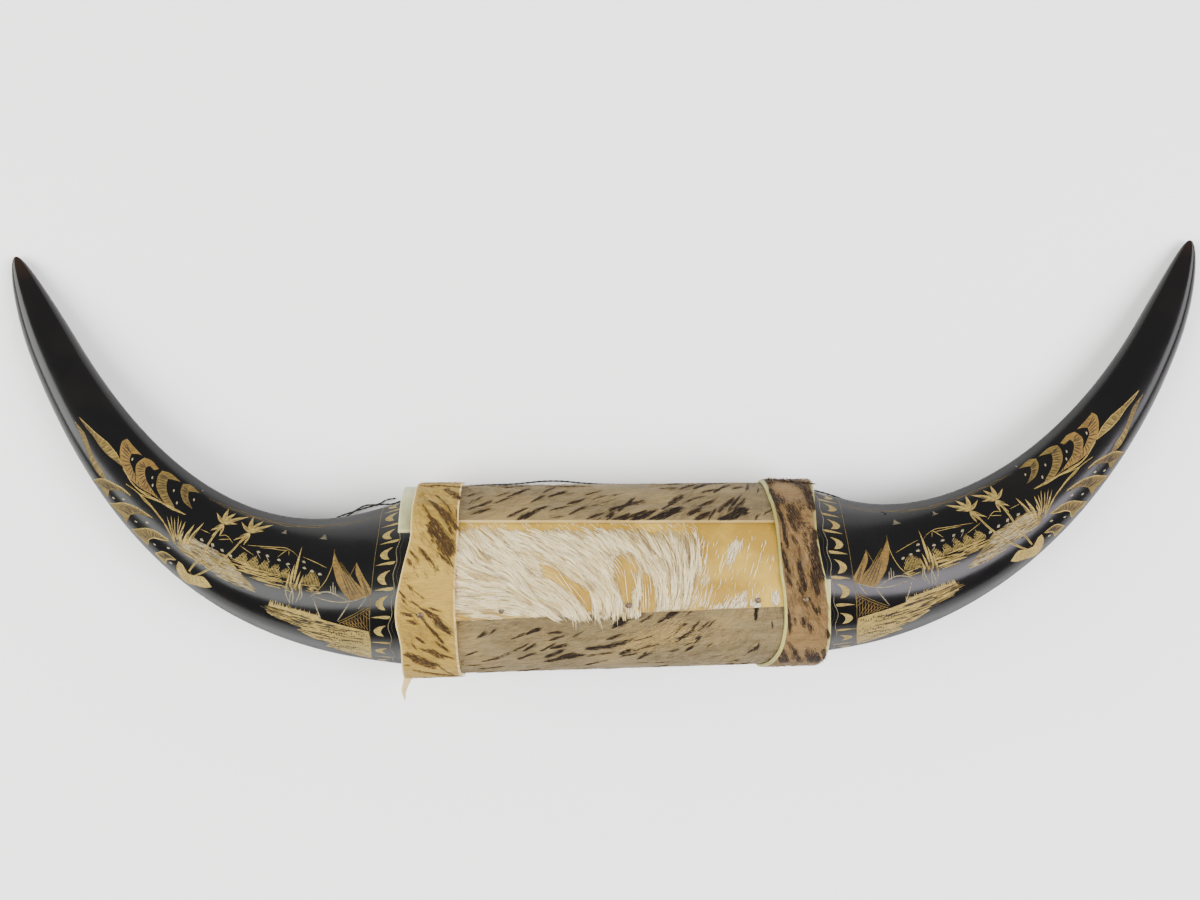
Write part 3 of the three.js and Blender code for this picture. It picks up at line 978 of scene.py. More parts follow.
class Flat:
    """A horn's skin laid out flat: millimetres along it, and SPREAD millimetres per radian."""

    SPREAD = 30.0

    def __init__(self, horn: Horn) -> None:
        """Measure the horn's middle line."""
        self.horn = horn
        self.t = np.linspace(0, 1, 801)
        place, _ = horn.middle(self.t)
        self.along = travelled(np.column_stack([place, horn.height(self.t)]))

    def t_at(self, along: Array) -> Array:
        """Return the middle line's parameter at a distance along it."""
        return np.interp(along, self.along, self.t)

    def along_at(self, t: Array) -> Array:
        """Return the distance along the middle line at a parameter."""
        return np.interp(t, self.t, self.along)

    def radius(self, along: Array) -> Array:
        """Return the horn's half width at a distance along it."""
        return self.horn.half_width(self.t_at(along))


class Engraving:
    """The cuts on one horn, drawn on its flat skin.

    Drawn places are (millimetres from the base, degrees from the front). A motif's own
    coordinates are millimetres, x away from the roll and y towards the inner curve.
    """

    SIDE_MARGIN = 4.0  # degrees kept free at the patch's sides
    START_MARGIN = 1.5  # millimetres kept free at the horn's base
    END_MARGIN = 3.0  # and at the patch's far end
    NARROWEST_GROOVE = 0.3  # a thinner line has no groove in its middle
    GROOVE_DEPTH = 0.45  # as a share of the line's width

    def __init__(self, flat: Flat, seed: int) -> None:
        """Start with an uncut horn."""
        self.flat = flat
        self.random = np.random.default_rng(seed)
        self.points: list[tuple[float, float]] = []
        self.sunk: list[float] = []
        self.edges: list[tuple[int, int]] = []
        self.faces: list[list[int]] = []
        self.cuts: list[Cut] = []

    def spread(self, places: Sequence) -> Array:
        """Turn drawn places into millimetres along and across the skin there."""
        places = np.asarray(places, dtype=float).reshape(-1, 2)
        across = np.radians(places[:, 1]) * self.flat.radius(places[:, 0])
        return np.column_stack([places[:, 0], across])

    def motif(self, place: tuple[float, float], shape: Sequence, turn: float = 0.0,
              size: float = 1.0) -> Array:
        """Put a motif's own shape at a drawn place.

        Args:
            place: Where the motif's origin goes.
            shape: Its points.
            turn: Degrees that it is turned, from x towards y.
            size: How much it is enlarged.

        Returns:
            The points in millimetres along and across the skin.
        """
        shape = np.asarray(shape, dtype=float).reshape(-1, 2) * size
        cos, sin = np.cos(np.radians(turn)), np.sin(np.radians(turn))
        x = shape[:, 0] * cos - shape[:, 1] * sin
        y = shape[:, 0] * sin + shape[:, 1] * cos
        along = place[0] + x
        share = self.flat.radius(along) / self.flat.radius(place[0])
        across = np.radians(place[1]) * self.flat.radius(along) - y * np.minimum(share, 1.2)
        return np.column_stack([along, across])

    def _store(self, path: Array, sunk: float) -> list[int]:
        """Keep points of the skin as flat points.

        Args:
            path: The points, in millimetres along and across the skin.
            sunk: How deep they lie.

        Returns:
            Their numbers.
        """
        first = len(self.points)
        turned = path[:, 1] / self.flat.radius(path[:, 0]) * Flat.SPREAD
        horn = self.flat.horn
        limit = 360 / horn.columns * horn.patch_columns - self.SIDE_MARGIN
        limit = np.radians(limit) * Flat.SPREAD
        turned = np.clip(turned, -limit, limit)
        along = np.clip(path[:, 0], self.START_MARGIN, horn.patch_end - self.END_MARGIN)
        self.points += list(zip(along.tolist(), turned.tolist()))
        self.sunk += [sunk] * len(path)
        return list(range(first, first + len(path)))

    def area(self, outline: Array, cut: Cut) -> None:
        """Scrape an area, or leave one standing in a scraped one.

        Args:
            outline: Its points, in millimetres along and across the skin.
            cut: What it leaves.
        """
        x, y = outline[:, 0], outline[:, 1]
        if np.sum(x * np.roll(y, -1) - np.roll(x, -1) * y) < 0:
            outline = outline[::-1]
        self.faces.append(self._store(outline, 0.0))
        self.cuts.append(cut)

    def line(self, path: Array, width: float, cut: Cut = Cut.STRAW, ends: float = 0.25,
             step: float = 2.2) -> None:
        """Cut a line that is widest in its middle.

        Args:
            path: Its points in millimetres along and across the skin.
            width: Its greatest width.
            cut: What it leaves.
            ends: Its width at the ends, as a share of the greatest.
            step: The length of its pieces.
        """
        length = travelled(path)
        count = max(2, int(length[-1] / step) + 1)
        at = np.linspace(0, length[-1], count + 1)
        middle = np.column_stack([np.interp(at, length, path[:, k]) for k in (0, 1)])
        way = unit(np.gradient(middle, axis=0), 1e-9)
        normal = np.column_stack([-way[:, 1], way[:, 0]])
        share = np.linspace(0, 1, count + 1)
        half = 0.5 * width * (ends + (1 - ends) * np.sin(np.pi * share) ** 0.6)
        outline = np.concatenate([middle + normal * half[:, None],
                                  (middle - normal * half[:, None])[::-1]])
        self.area(outline, cut)
        if cut is not Cut.POLISH and width > self.NARROWEST_GROOVE:
            numbers = self._store(middle[1:-1], self.GROOVE_DEPTH * width)
            self.edges += list(zip(numbers, numbers[1:]))

    def curve(self, places: Sequence, width: float, cut: Cut = Cut.STRAW, **more: float) -> None:
        """Cut a smooth line through drawn places."""
        self.line(self.soften(self.spread(places)), width, cut, **more)

    def rounded(self, outline: Array, corners: Sequence[int]) -> Array:
        """Round a closed outline between its corners.

        Args:
            outline: Its points, without the first one repeated.
            corners: The numbers of its sharp points, the first of which is 0.

        Returns:
            The finer outline.
        """
        runs = []
        for start, end in zip(corners, [*corners[1:], len(outline)]):
            run = outline[start:end + 1] if end < len(outline) else np.vstack([outline[start:], outline[:1]])
            runs.append(self.soften(run, 4)[:-1])
        return np.concatenate(runs)

    def leaf(self, root: tuple, tip: tuple, width: float, cut: Cut, ribs: int = 3) -> None:
        """Scrape a pointed leaf.

        Args:
            root: Where it starts.
            tip: Where it ends.
            width: Its greatest width.
            cut: What it leaves.
            ribs: How many dark strokes it has.
        """
        start, end = self.spread([root, tip])
        way = end - start
        side = unit(np.array([-way[1], way[0]]), 1e-9)
        share = np.linspace(0, 1, 9)[:, None]
        middle = start + way * share + side * (0.12 * width * np.sin(np.pi * share))
        half = 0.5 * width * np.sin(np.pi * share ** 0.75) * (1 - 0.35 * share)
        self.area(np.concatenate([middle + side * half, (middle - side * half)[::-1][1:-1]]), cut)
        for k in range(ribs):
            offset = side * width * 0.2 * (k - (ribs - 1) / 2)
            self.line(np.array([start + way * (0.18 + 0.06 * k) + offset,
                                start + way * (0.74 - 0.08 * k) + offset * 0.6]), 0.3, Cut.SHADE)

    @staticmethod
    def soften(path: Array, steps: int = 6) -> Array:
        """Round a path's corners by a Catmull-Rom curve.

        Args:
            path: Its points.
            steps: How many points each stretch gets.

        Returns:
            The finer path.
        """
        if len(path) < 3:
            return path
        ends = np.concatenate([[2 * path[0] - path[1]], path, [2 * path[-1] - path[-2]]])
        share = np.linspace(0, 1, steps, endpoint=False)[:, None]
        pieces = []
        for a, b, c, d in zip(ends, ends[1:], ends[2:], ends[3:]):
            pieces.append(0.5 * (2 * b + (c - a) * share + (2 * a - 5 * b + 4 * c - d) * share ** 2
                                 + (3 * b - a - 3 * c + d) * share ** 3))
        return np.concatenate([*pieces, path[-1:]])


class Scene:
    """The souvenir carver's usual scene: a junk, a reedy bank, palms and feather fronds."""

    # Each feather's outline runs from its top round its back to its foot, and along its front to
    # the notch and the tail. The numbers mark its corners, and the last pairs are its dots.
    FEATHERS = (
        (((195.3, -40), (195.6, -30), (192.4, -18), (186.6, -7), (179.6, -2), (173.6, -2), (167.1, -5),
          (161, -10), (167.4, -11), (176.1, -12), (180.5, -16), (184.3, -20), (186.6, -29),
          (184.6, -36), (182, -41), (190.8, -40)), (0, 7, 12, 14), ((183.7, -24),)),
        (((180.2, -41), (180.2, -26), (177.4, -16), (171.4, -8), (165.6, -7), (161, -10), (152.8, -13),
          (160, -14), (168.3, -18), (173, -25), (174.9, -32), (174.3, -38), (170.6, -39),
          (169.4, -46), (175.8, -47)), (0, 6, 10, 13), ((168, -28), (164.6, -20))),
        (((167.4, -47), (166.5, -36), (163.1, -24), (158.5, -18), (152.5, -14), (144.7, -16),
          (147.9, -20), (154.6, -26), (159.1, -35), (161.3, -44), (157.6, -50), (154.5, -54),
          (162.5, -54)), (0, 5, 9, 11), ((153.7, -36), (147.3, -25))),
        (((152.8, -54), (151.2, -44), (148.2, -37), (143.8, -32), (138.1, -32), (141.7, -37),
          (144.7, -42), (147, -50), (144.1, -55), (140.7, -59), (148.8, -61)), (0, 4, 7, 9),
         ((141.1, -44),)),
        (((190.1, 60), (187.5, 38), (184.3, 29), (179.6, 22), (174.6, 16), (168.7, 14), (173.3, 19),
          (177.4, 28), (179.4, 36), (177.5, 49), (181.2, 50), (185.6, 51)), (0, 5, 8, 9),
         ((174.9, 39), (170.5, 26))),
        (((175.5, 60), (170.5, 34), (167.4, 26), (161.9, 18), (155.8, 14), (150.9, 12), (155.8, 18),
          (159.7, 24), (162.2, 34), (161.4, 52), (166.3, 50), (171.1, 56)), (0, 5, 8, 9),
         ((157.6, 34), (152.5, 22))),
        (((157.4, 54), (151.9, 31), (146.4, 22), (141.4, 20), (136.8, 18), (141.7, 26), (145, 31),
          (146.8, 39), (145.4, 51), (149.6, 50), (153.4, 53)), (0, 4, 7, 8), ((142.6, 38), (135.5, 27))),
        (((140.2, 52), (137.5, 38), (134, 34), (128.7, 33), (132.2, 39), (133.6, 44), (132.9, 55),
          (136.6, 52)), (0, 3, 5, 6), ((130.5, 43),)),
    )
    CRESCENTS = ((13.6, -84), (14.4, -66), (15, -46), (15.7, -28), (17, -10), (18.3, 7), (20.5, 28),
                 (21.5, 52), (22.4, 78))
    BARS = ((13.4, -75), (13.7, -56), (14, -38), (15.7, -20), (16.6, -2), (19.2, 17), (20.8, 40),
            (21.6, 65))
    # Each palm's crown, its leaves' tips and widths, and its stem.
    PALMS = (
        ((117.7, -38), ((120.6, -61, 3.4), (115.1, -60, 3), (106.6, -63, 2.8), (122, -21, 2),
                        (115.6, -21, 2.2), (125.2, -47, 2.6), (110.2, -46, 2.2), (119.6, -15, 1.8)),
         ((118.2, -33), (118.5, -7), (118.2, 10), (119.4, 20), (120.3, 34))),
        ((100.9, -42), ((104.2, -65, 3.4), (96.9, -64, 3), (89.6, -63, 2.8), (107.6, -24, 2),
                        (100.7, -24, 2.2), (109, -51, 2.6), (93.4, -50, 2.2), (104.6, -18, 1.8)),
         ((102.5, -36), (104.4, -16), (107.3, 0), (110.1, 12), (117.1, 36))),
    )

    def __init__(self, pen: Engraving) -> None:
        """Take the horn's engraving."""
        self.pen = pen

    def draw(self) -> None:
        """Draw it all, what lies behind first."""
        self.border()
        self.water()
        self.shore()
        self.hills()
        self.bushes()
        self.bank()
        self.junk()
        self.reeds()
        self.palms()
        self.birds()
        self.fronds()
        self.top_line()

    def border(self) -> None:
        """Draw the band beside the collar: crescents with small bars between two lines."""
        pen = self.pen
        pen.curve([(19.6, -92), (20.2, -66), (20.5, -49), (21.5, -30), (22.5, -14), (23.4, -2), (25.2, 19),
                   (26.2, 40), (27.4, 70), (28, 92)], 0.26, Cut.GOLD, ends=1.0)
        scallops = [(8.6, -92), (7.6, -84), (9, -72), (8.6, -62), (9.6, -50), (8.6, -38), (10.4, -29),
                    (9.8, -20), (11.8, -11), (11.2, -3), (13.2, 7), (13, 15), (15.8, 24), (14.6, 34),
                    (16.4, 46), (15.2, 58), (17, 72), (16, 86)]
        pen.curve(scallops, 0.38, Cut.WHITE, ends=1.0)
        pen.curve([(along - 2.0, degrees) for along, degrees in scallops], 0.3, Cut.SHADE, ends=1.0)
        crescent = [(-4, 3.6), (-1, 3.1), (1.8, 1.9), (3.3, -0.2), (2.2, -2.4), (0.4, -3.5),
                    (-2.1, -3.8), (-1.1, -2.1), (-0.7, -0.5), (-1.2, 1.1), (-2.5, 2.5)]
        bar = [(5.4, -0.5), (1.5, 0.5), (-2.2, 0.95), (-5, 0.7), (-4.4, -0.6), (-1.5, -0.75),
               (1.5, -0.5)]
        for place in self.CRESCENTS:
            pen.area(pen.rounded(pen.motif(place, crescent, 0.0, 0.96), (0, 6)), Cut.STRAW)
            for k in range(3):
                stroke = [(2.4 - 1.1 * k, 2.0 - 1.6 * k), (0.9 - 1.0 * k, 1.4 - 1.6 * k)]
                pen.line(pen.motif(place, stroke), 0.22, Cut.RUSSET)
        for place in self.BARS:
            pen.area(pen.rounded(pen.motif(place, bar, 3.0), (0, 4)), Cut.STRAW)

    def junk(self) -> None:
        """Draw the junk: two curved sails, rigging, a hull and its net."""
        pen = self.pen
        big = [(46.4, -36), (46.1, -24), (43, -10), (39.7, -2), (35.4, 5), (30.7, 4), (25.6, 2),
               (30.1, -6), (35.7, -13), (40.6, -20)]
        small = [(31.9, -24), (32.3, -16), (29.4, -6), (26.3, 2), (23.7, 1), (23.7, -3), (27.5, -12)]
        for sail, corners, seams in ((big, (0, 4, 6), 9), (small, (0, 3, 4), 5)):
            outline = pen.rounded(pen.spread(sail), corners)
            pen.area(outline, Cut.RUSSET)
            foot = pen.spread([sail[corners[1]], sail[corners[2]]])
            for k in range(1, seams):
                end = foot[0] + (foot[1] - foot[0]) * k / seams
                start = outline[0] + (end - outline[0]) * (0.25 + 0.2 * (k % 2))
                pen.line(np.array([start, end]), 0.5, Cut.SHADE if k % 2 else Cut.GOLD)
            pen.line(np.concatenate([outline, outline[:1]]), 0.45, Cut.STRAW, ends=1.0)
        pen.curve([(31.9, -24), (35.7, -12)], 0.45, Cut.GOLD)
        pen.curve([(46.4, -39), (46.1, -24), (48.5, -10), (52.7, 0), (56.3, 6)], 0.42)
        for places in (
            [(56.3, 6), (52.7, 2), (45.5, 0), (35.4, 6)],
            [(54.2, 5), (44, 7), (35.4, 6), (25.6, 2)],
            [(54.5, 6), (49.7, 22)],
            [(35.4, 7), (41.5, 22)],
            [(26.3, 3), (30.7, 11)],
            [(45.8, -5), (45.2, 1)],
            [(44.6, -8), (44, 2)],
            [(43.3, -5), (42.7, 2)],
        ):
            pen.curve(places, 0.55, Cut.WHITE)
        self.net((40.6, 24), (25, 10), (25.6, 28))

    def net(self, tip: tuple, top: tuple, foot: tuple) -> None:
        """Draw a hung net, crossed both ways between three corners.

        Args:
            tip: The drawn place of its tip.
            top: That of its top.
            foot: That of its foot.
        """
        pen = self.pen
        a, b, c = (pen.spread([corner])[0] for corner in (tip, top, foot))
        for one, two in ((a, b), (a + (0.6, -0.9), b + (0.2, -1.1)), (b, c)):
            pen.line(np.array([one, two]), 0.4, Cut.GOLD, ends=0.8)
        for k in range(1, 10):
            share = k / 10
            side = b + (a - b) * share
            pen.line(np.array([side, c + (a - c) * share * 0.9]), 0.34, Cut.RUSSET)
            pen.line(np.array([side, c + (a - c) * (share - 0.35)]) if share > 0.35 else
                     np.array([side, b + (c - b) * (1.6 * share)]), 0.34, Cut.RUSSET)

    def bank(self) -> None:
        """Draw the scraped bank with its grass and its short dark strokes."""
        pen = self.pen
        outline = [(77.1, 28), (76.5, 23), (72.1, 20), (64.8, 19), (58.3, 19), (51.5, 20), (49.1, 23),
                   (40.6, 25), (26.3, 29), (26, 40), (28.2, 76), (32.6, 73), (40, 64), (47.9, 58),
                   (45.5, 50), (53.6, 47), (61, 40), (58.9, 37), (65.4, 34), (72.7, 33), (76.5, 31)]
        pen.area(pen.spread(outline), Cut.STRAW)
        for k in range(34):
            along = 76.0 - k * 0.78 + pen.random.uniform(-0.25, 0.25)
            tall = pen.random.uniform(1.4, 3.0)
            blade = [(-0.5, -1), (pen.random.uniform(-0.6, 0.6), tall), (0.5, -1)]
            pen.area(pen.motif((along, 20.6 + 0.035 * k), blade), Cut.STRAW)
        for _ in range(96):
            along = pen.random.uniform(28.5, 73)
            top = np.interp(along, [28, 45, 52, 73], [30, 26, 23, 23])
            bottom = np.interp(along, [28, 40, 47, 62, 72], [74, 62, 46, 37, 31])
            degrees = pen.random.uniform(top, bottom)
            length = pen.random.uniform(2.5, 10.0)
            stroke = pen.motif((along, degrees), [(0, 0), (length / 2, 0.15), (length, -0.1)], 3.0)
            pen.line(stroke, 0.7, Cut.SHADE if along < 58 or pen.random.uniform() < 0.4 else Cut.GOLD)
        for k in range(48):
            place = (27.5 + 1.2 * (k % 16), 34 + 11 * (k // 16) + pen.random.uniform(-3, 3))
            pen.line(pen.motif(place, [(0, 0), (0.5, 2)]), 0.6, Cut.SHADE)

    def reeds(self) -> None:
        """Draw the tall reed clump before the bank, with its split stalks."""
        pen = self.pen
        for root, tip, width in (((66.2, -2), (66.9, -41), 1.7), ((67.8, 0), (68.2, -21), 1.6),
                                 ((69.4, 0), (69.8, -13), 1.2), ((64.6, 0), (63.8, -15), 1.4),
                                 ((62.8, 1), (61.6, -12), 1.1)):
            pen.leaf(root, tip, width, Cut.STRAW, ribs=0)
        for k in range(11):
            along = 61.2 + 0.84 * k
            places = [(along, -5 + 2 * (k % 2)), (along + 0.3, 1), (along - 0.2, 5 - 2 * (k % 3))]
            pen.curve(places, 0.62, Cut.STRAW if k % 3 else Cut.GOLD)
        for places in ([(69.5, 0), (69.2, 7), (66.6, 14)], [(67.2, 0), (65.1, 7), (64.7, 15)],
                       [(63.1, -2), (61.9, 4), (63.1, 13)], [(65.5, 0), (66.6, 8), (66, 16)],
                       [(61.6, 0), (60.4, 6), (61.4, 10)]):
            pen.curve(places, 0.55, Cut.WHITE)

    def hills(self) -> None:
        """Draw the far shore: thin hills, a roof and a row of small tufts."""
        pen = self.pen
        for places in (
            [(98.5, -26), (91.5, -30), (82.8, -34), (77.1, -36), (74.2, -35), (70.1, -32), (67.4, -28)],
            [(91, -28.5), (84, -31.5), (78, -32.5), (74.8, -34)],
            [(64.4, -29), (56.9, -25), (49.1, -20)],
            [(79.1, -24), (75.6, -33), (74.2, -35)],
            [(74.2, -34), (72.9, -28)],
            [(126.9, -16), (121.1, -18)],
            [(115.9, -21), (112.7, -26), (109.3, -24), (106.7, -21)],
            [(114.9, -17), (110.9, -22), (109.3, -24)],
            [(102.4, -22), (92.6, -18)],
        ):
            pen.curve(places, 0.42, Cut.STRAW)
        tuft = [(-1.9, -0.5), (-1.5, 0.5), (-0.9, 0.3), (-0.6, 1.3), (0, 0.6), (0.5, 1.4), (0.9, 0.4),
                (1.8, 0.5), (1.2, -0.4), (0.2, -0.9)]
        tufts = ((122.9, -6), (116.2, -8), (110.1, -8), (104.4, -7), (90.9, -23), (85.1, -22), (77.9, -21),
                 (72.1, -19), (63.4, -24), (62.2, -18), (57.5, -16), (52.7, -14))
        for k, (along, degrees) in enumerate(tufts):
            turn = pen.random.uniform(-20, 20)
            pen.area(pen.motif((along, degrees), tuft, turn, 0.66), Cut.WHITE)
            if k in (1, 4, 5, 7):
                pen.line(pen.motif((along, degrees), [(0.4, -0.6), (-2.8, -3.2)]), 0.4, Cut.WHITE)

    def bushes(self) -> None:
        """Draw a row of round bushes as upright strokes under ragged tops."""
        pen = self.pen
        humps = ((101, 93.9, -5, -18), (94.4, 87.3, -6, -19), (87.6, 81.2, -7, -18.5),
                 (81.4, 75, -7, -18), (75.2, 68.8, -6, -16), (62.4, 51.6, -4, -17))
        for start, end, foot, top in humps:
            count = int((start - end) / 0.78)
            for k in range(count):
                share = (k + 0.5) / count
                along = start + (end - start) * share
                tall = foot + (top - foot) * (np.sin(np.pi * share) ** 0.6) * pen.random.uniform(0.82, 1.0)
                pen.curve([(along, foot + 1), (along + 0.2, (foot + tall) / 2), (along, tall)], 0.52)
            for share in (0.35, 0.66):
                dot = [(-0.5, 0), (0, 0.45), (0.5, 0), (0, -0.45)]
                pen.area(pen.motif((start + (end - start) * share, (foot + top) / 2), dot), Cut.POLISH)

    def water(self) -> None:
        """Draw the water as long level strokes under the bushes."""
        pen = self.pen
        for k in range(46):
            along = pen.random.uniform(66, 95)
            degrees = -6.5 + 9.0 * (k / 45) + 0.10 * (95 - along) * (k / 45)
            length = pen.random.uniform(4.0, 12.0)
            stroke = [(0, 0), (length * 0.4, 0.3), (length, -0.1)]
            pen.line(pen.motif((along, degrees), stroke, -3.0), pen.random.uniform(0.35, 0.62), Cut.STRAW)
        for k in range(12):
            along = pen.random.uniform(50, 59)
            degrees = -4.0 + 6.0 * k / 11
            length = pen.random.uniform(2.5, 5.0)
            pen.line(pen.motif((along, degrees), [(0, 0), (length, 0.1)]), 0.4, Cut.STRAW)

    def shore(self) -> None:
        """Draw the pale scraped strip on the ridge, past the water."""
        pen = self.pen
        outline = [(133.6, 14), (131.3, 6), (126.4, -2), (116.2, -3), (106, -5), (101.6, -1),
                   (96.1, 4), (91, 8), (84.6, 13), (89.4, 15), (92.2, 14), (99.2, 17), (108.1, 15),
                   (116.6, 17), (120.6, 16), (129.2, 20)]
        pen.area(pen.spread(outline), Cut.GOLD)
        for _ in range(230):
            along = pen.random.uniform(84, 126)
            high = np.interp(along, [84, 96, 106, 127], [13, 3, -5, -3])
            low = np.interp(along, [84, 99, 130], [16, 18, 19])
            degrees = pen.random.uniform(high, low)
            length = pen.random.uniform(3.0, 9.0)
            cut = pen.random.choice([Cut.STRAW, Cut.WHITE, Cut.SHADE], p=[0.3, 0.55, 0.15])
            stroke = [(0, 0), (length / 2, 0.2), (length, 0)]
            pen.line(pen.motif((along, degrees), stroke, -4.0), pen.random.uniform(0.22, 0.5), cut)

    def palms(self) -> None:
        """Draw two palms with pointed leaves, and the plants at their feet."""
        pen = self.pen
        base = [(127.5, 32), (124.9, 32), (122.6, 35), (120.3, 38), (118.2, 36), (116.5, 34), (113, 29),
                (109.9, 30), (106.4, 34), (109.6, 41), (115.1, 49), (120.4, 60), (124.6, 52),
                (127, 42)]
        pen.area(pen.rounded(pen.spread(base), (0, 3, 4, 8)), Cut.STRAW)
        for k in range(12):
            along = 109 + 1.5 * k
            pen.line(pen.motif((along, 38 + 6 * (k % 2)), [(0, 0), (1.6, 2.2)]), 0.25, Cut.GOLD)
        for crown, tips, stem in self.PALMS:
            for along, degrees, width in tips:
                pen.leaf(crown, (along, degrees), width, Cut.STRAW)
            pen.curve(stem, 1.05, Cut.STRAW, ends=0.8)
            pen.curve([(along + 0.1, degrees) for along, degrees in stem], 0.28, Cut.SHADE)
        for root, tip, width in (
            ((134.2, 15), (146.7, -3), 0.9), ((134.2, 12), (142.9, -8), 1.0),
            ((134.4, 8), (141.7, -13), 0.9), ((133.6, 12), (138.7, -11), 1.1),
            ((132.6, 12), (136.6, -13), 1.7), ((130, 12), (131.4, -17), 2.5),
            ((128.4, 12), (127.6, -26), 2.2), ((131.4, 12), (134.2, -2), 1.4),
            ((136.4, 10), (145.2, -7), 0.8), ((135.4, 12), (144.4, 0), 0.8),
        ):
            pen.leaf(root, tip, width, Cut.STRAW)

    def birds(self) -> None:
        """Draw two far birds and a speck as small level strokes."""
        pen = self.pen
        for place, size in (((80.8, -56), 0.9), ((54.8, -54), 1.1), ((141.1, -66), 0.5)):
            for k in range(5):
                half = (0.5 + 0.45 * k) * size
                stroke = [(-half, 1.5 - 0.7 * k), (0.3, 1.6 - 0.7 * k), (half, 1.3 - 0.7 * k)]
                pen.line(pen.motif(place, stroke, 8.0, size), 0.34, Cut.WHITE)

    def feather(self, outline: Sequence, corners: Sequence[int], dots: Sequence, cut: Cut) -> None:
        """Draw one feather tip: a hatched crescent with a bright rim and white dots before it.

        Args:
            outline: Its top, back, foot, front, notch and tail.
            corners: The numbers of its sharp points.
            dots: The places of its dots.
            cut: What its middle leaves.
        """
        pen = self.pen
        places = pen.spread(outline)
        shape = pen.rounded(places, corners)
        pen.area(shape, cut)
        back = pen.soften(places[:corners[1] + 1])
        front = pen.soften(places[corners[1]:corners[2] + 1])[::-1]
        for share in np.linspace(0.08, 0.97, 14):
            start = back[int(share * (len(back) - 1))]
            end = front[int(max(0.0, share - 0.14) * (len(front) - 1))]
            pen.line(np.array([start + (end - start) * 0.12, end]), 0.62, Cut.SHADE)
        pen.line(np.concatenate([shape, shape[:1]]), 0.55, Cut.STRAW, ends=1.0)
        for place in dots:
            dot = [(-1, 0.1), (-0.3, 0.5), (0.8, 0.35), (1, -0.2), (0, -0.5)]
            pen.area(pen.motif(place, dot, 60 if place[1] < 0 else -20, 1.0), Cut.WHITE)

    def fronds(self) -> None:
        """Draw the two rows of feather tips, their stems, and the long end leaves."""
        pen = self.pen
        upper = [(221.5, 10), (216.1, 5), (208.7, -1), (199.8, -9), (191.7, -10), (183.7, -5),
                 (190.1, 0), (195.6, 4), (201.8, 6), (208.4, 6), (214.4, 9)]
        lower = [(220.5, 21), (213.4, 24), (204.1, 30), (196.9, 35), (190.1, 36), (184.3, 29),
                 (187.5, 26), (191.7, 25), (196.9, 25), (201.8, 23), (207.1, 19), (213, 16)]
        for places in (upper, lower):
            shape = pen.spread(places)
            pen.area(pen.rounded(shape, (0, 5)), Cut.GOLD)
            back = pen.soften(shape[:6])
            front = pen.soften(shape[5:])[::-1]
            for share in np.linspace(0.1, 0.95, 18):
                start = back[int(share * (len(back) - 1))]
                end = front[int(max(0.0, share - 0.12) * (len(front) - 1))]
                pen.line(np.array([start, end]), 0.36, Cut.STRAW if int(share * 40) % 2 else Cut.SHADE)
            pen.line(np.concatenate([shape, shape[:1]]), 0.4, Cut.STRAW, ends=1.0)
        for number, (outline, corners, dots) in enumerate(self.FEATHERS):
            self.feather(outline, corners, dots, Cut.RUSSET if number < 2 else Cut.GOLD)
        for places, width in (
            ([(183.7, -5), (174.3, 0), (165.3, -2), (156.1, -10), (147.3, -14), (139, -20)], 0.75),
            ([(166.5, 3), (159.7, -5), (153.1, -12), (145.8, -17), (139, -20)], 0.6),
            ([(175.5, 8), (169.6, 4), (163.4, 2), (157, 2), (150.6, 4), (144.4, 7), (133.7, 17)], 0.6),
            ([(166.5, 3), (161.3, 4), (156.1, 3), (149.1, 5), (142.6, 8), (133.1, 17)], 0.5),
            ([(161, -8), (171, 0), (183, -3)], 0.4),
        ):
            pen.curve(places, width, Cut.STRAW, ends=0.5)

    def top_line(self) -> None:
        """Draw the wavy double line near the inner curve."""
        line = [(136, -61), (123.2, -63), (113.9, -66), (103.5, -67), (93.5, -68), (82.5, -68),
                (66.6, -70), (53.3, -72), (36, -73), (20.5, -75)]
        smooth = self.pen.soften(np.array(line, dtype=float), 6)
        for offset, width in ((0, 0.42), (2.4, 0.34)):
            sway = np.sin(np.arange(len(smooth)) * 0.8 + offset) * 0.8
            places = np.column_stack([smooth[:, 0], smooth[:, 1] + offset + sway])
            self.pen.line(self.pen.spread(places), width, Cut.GOLD)


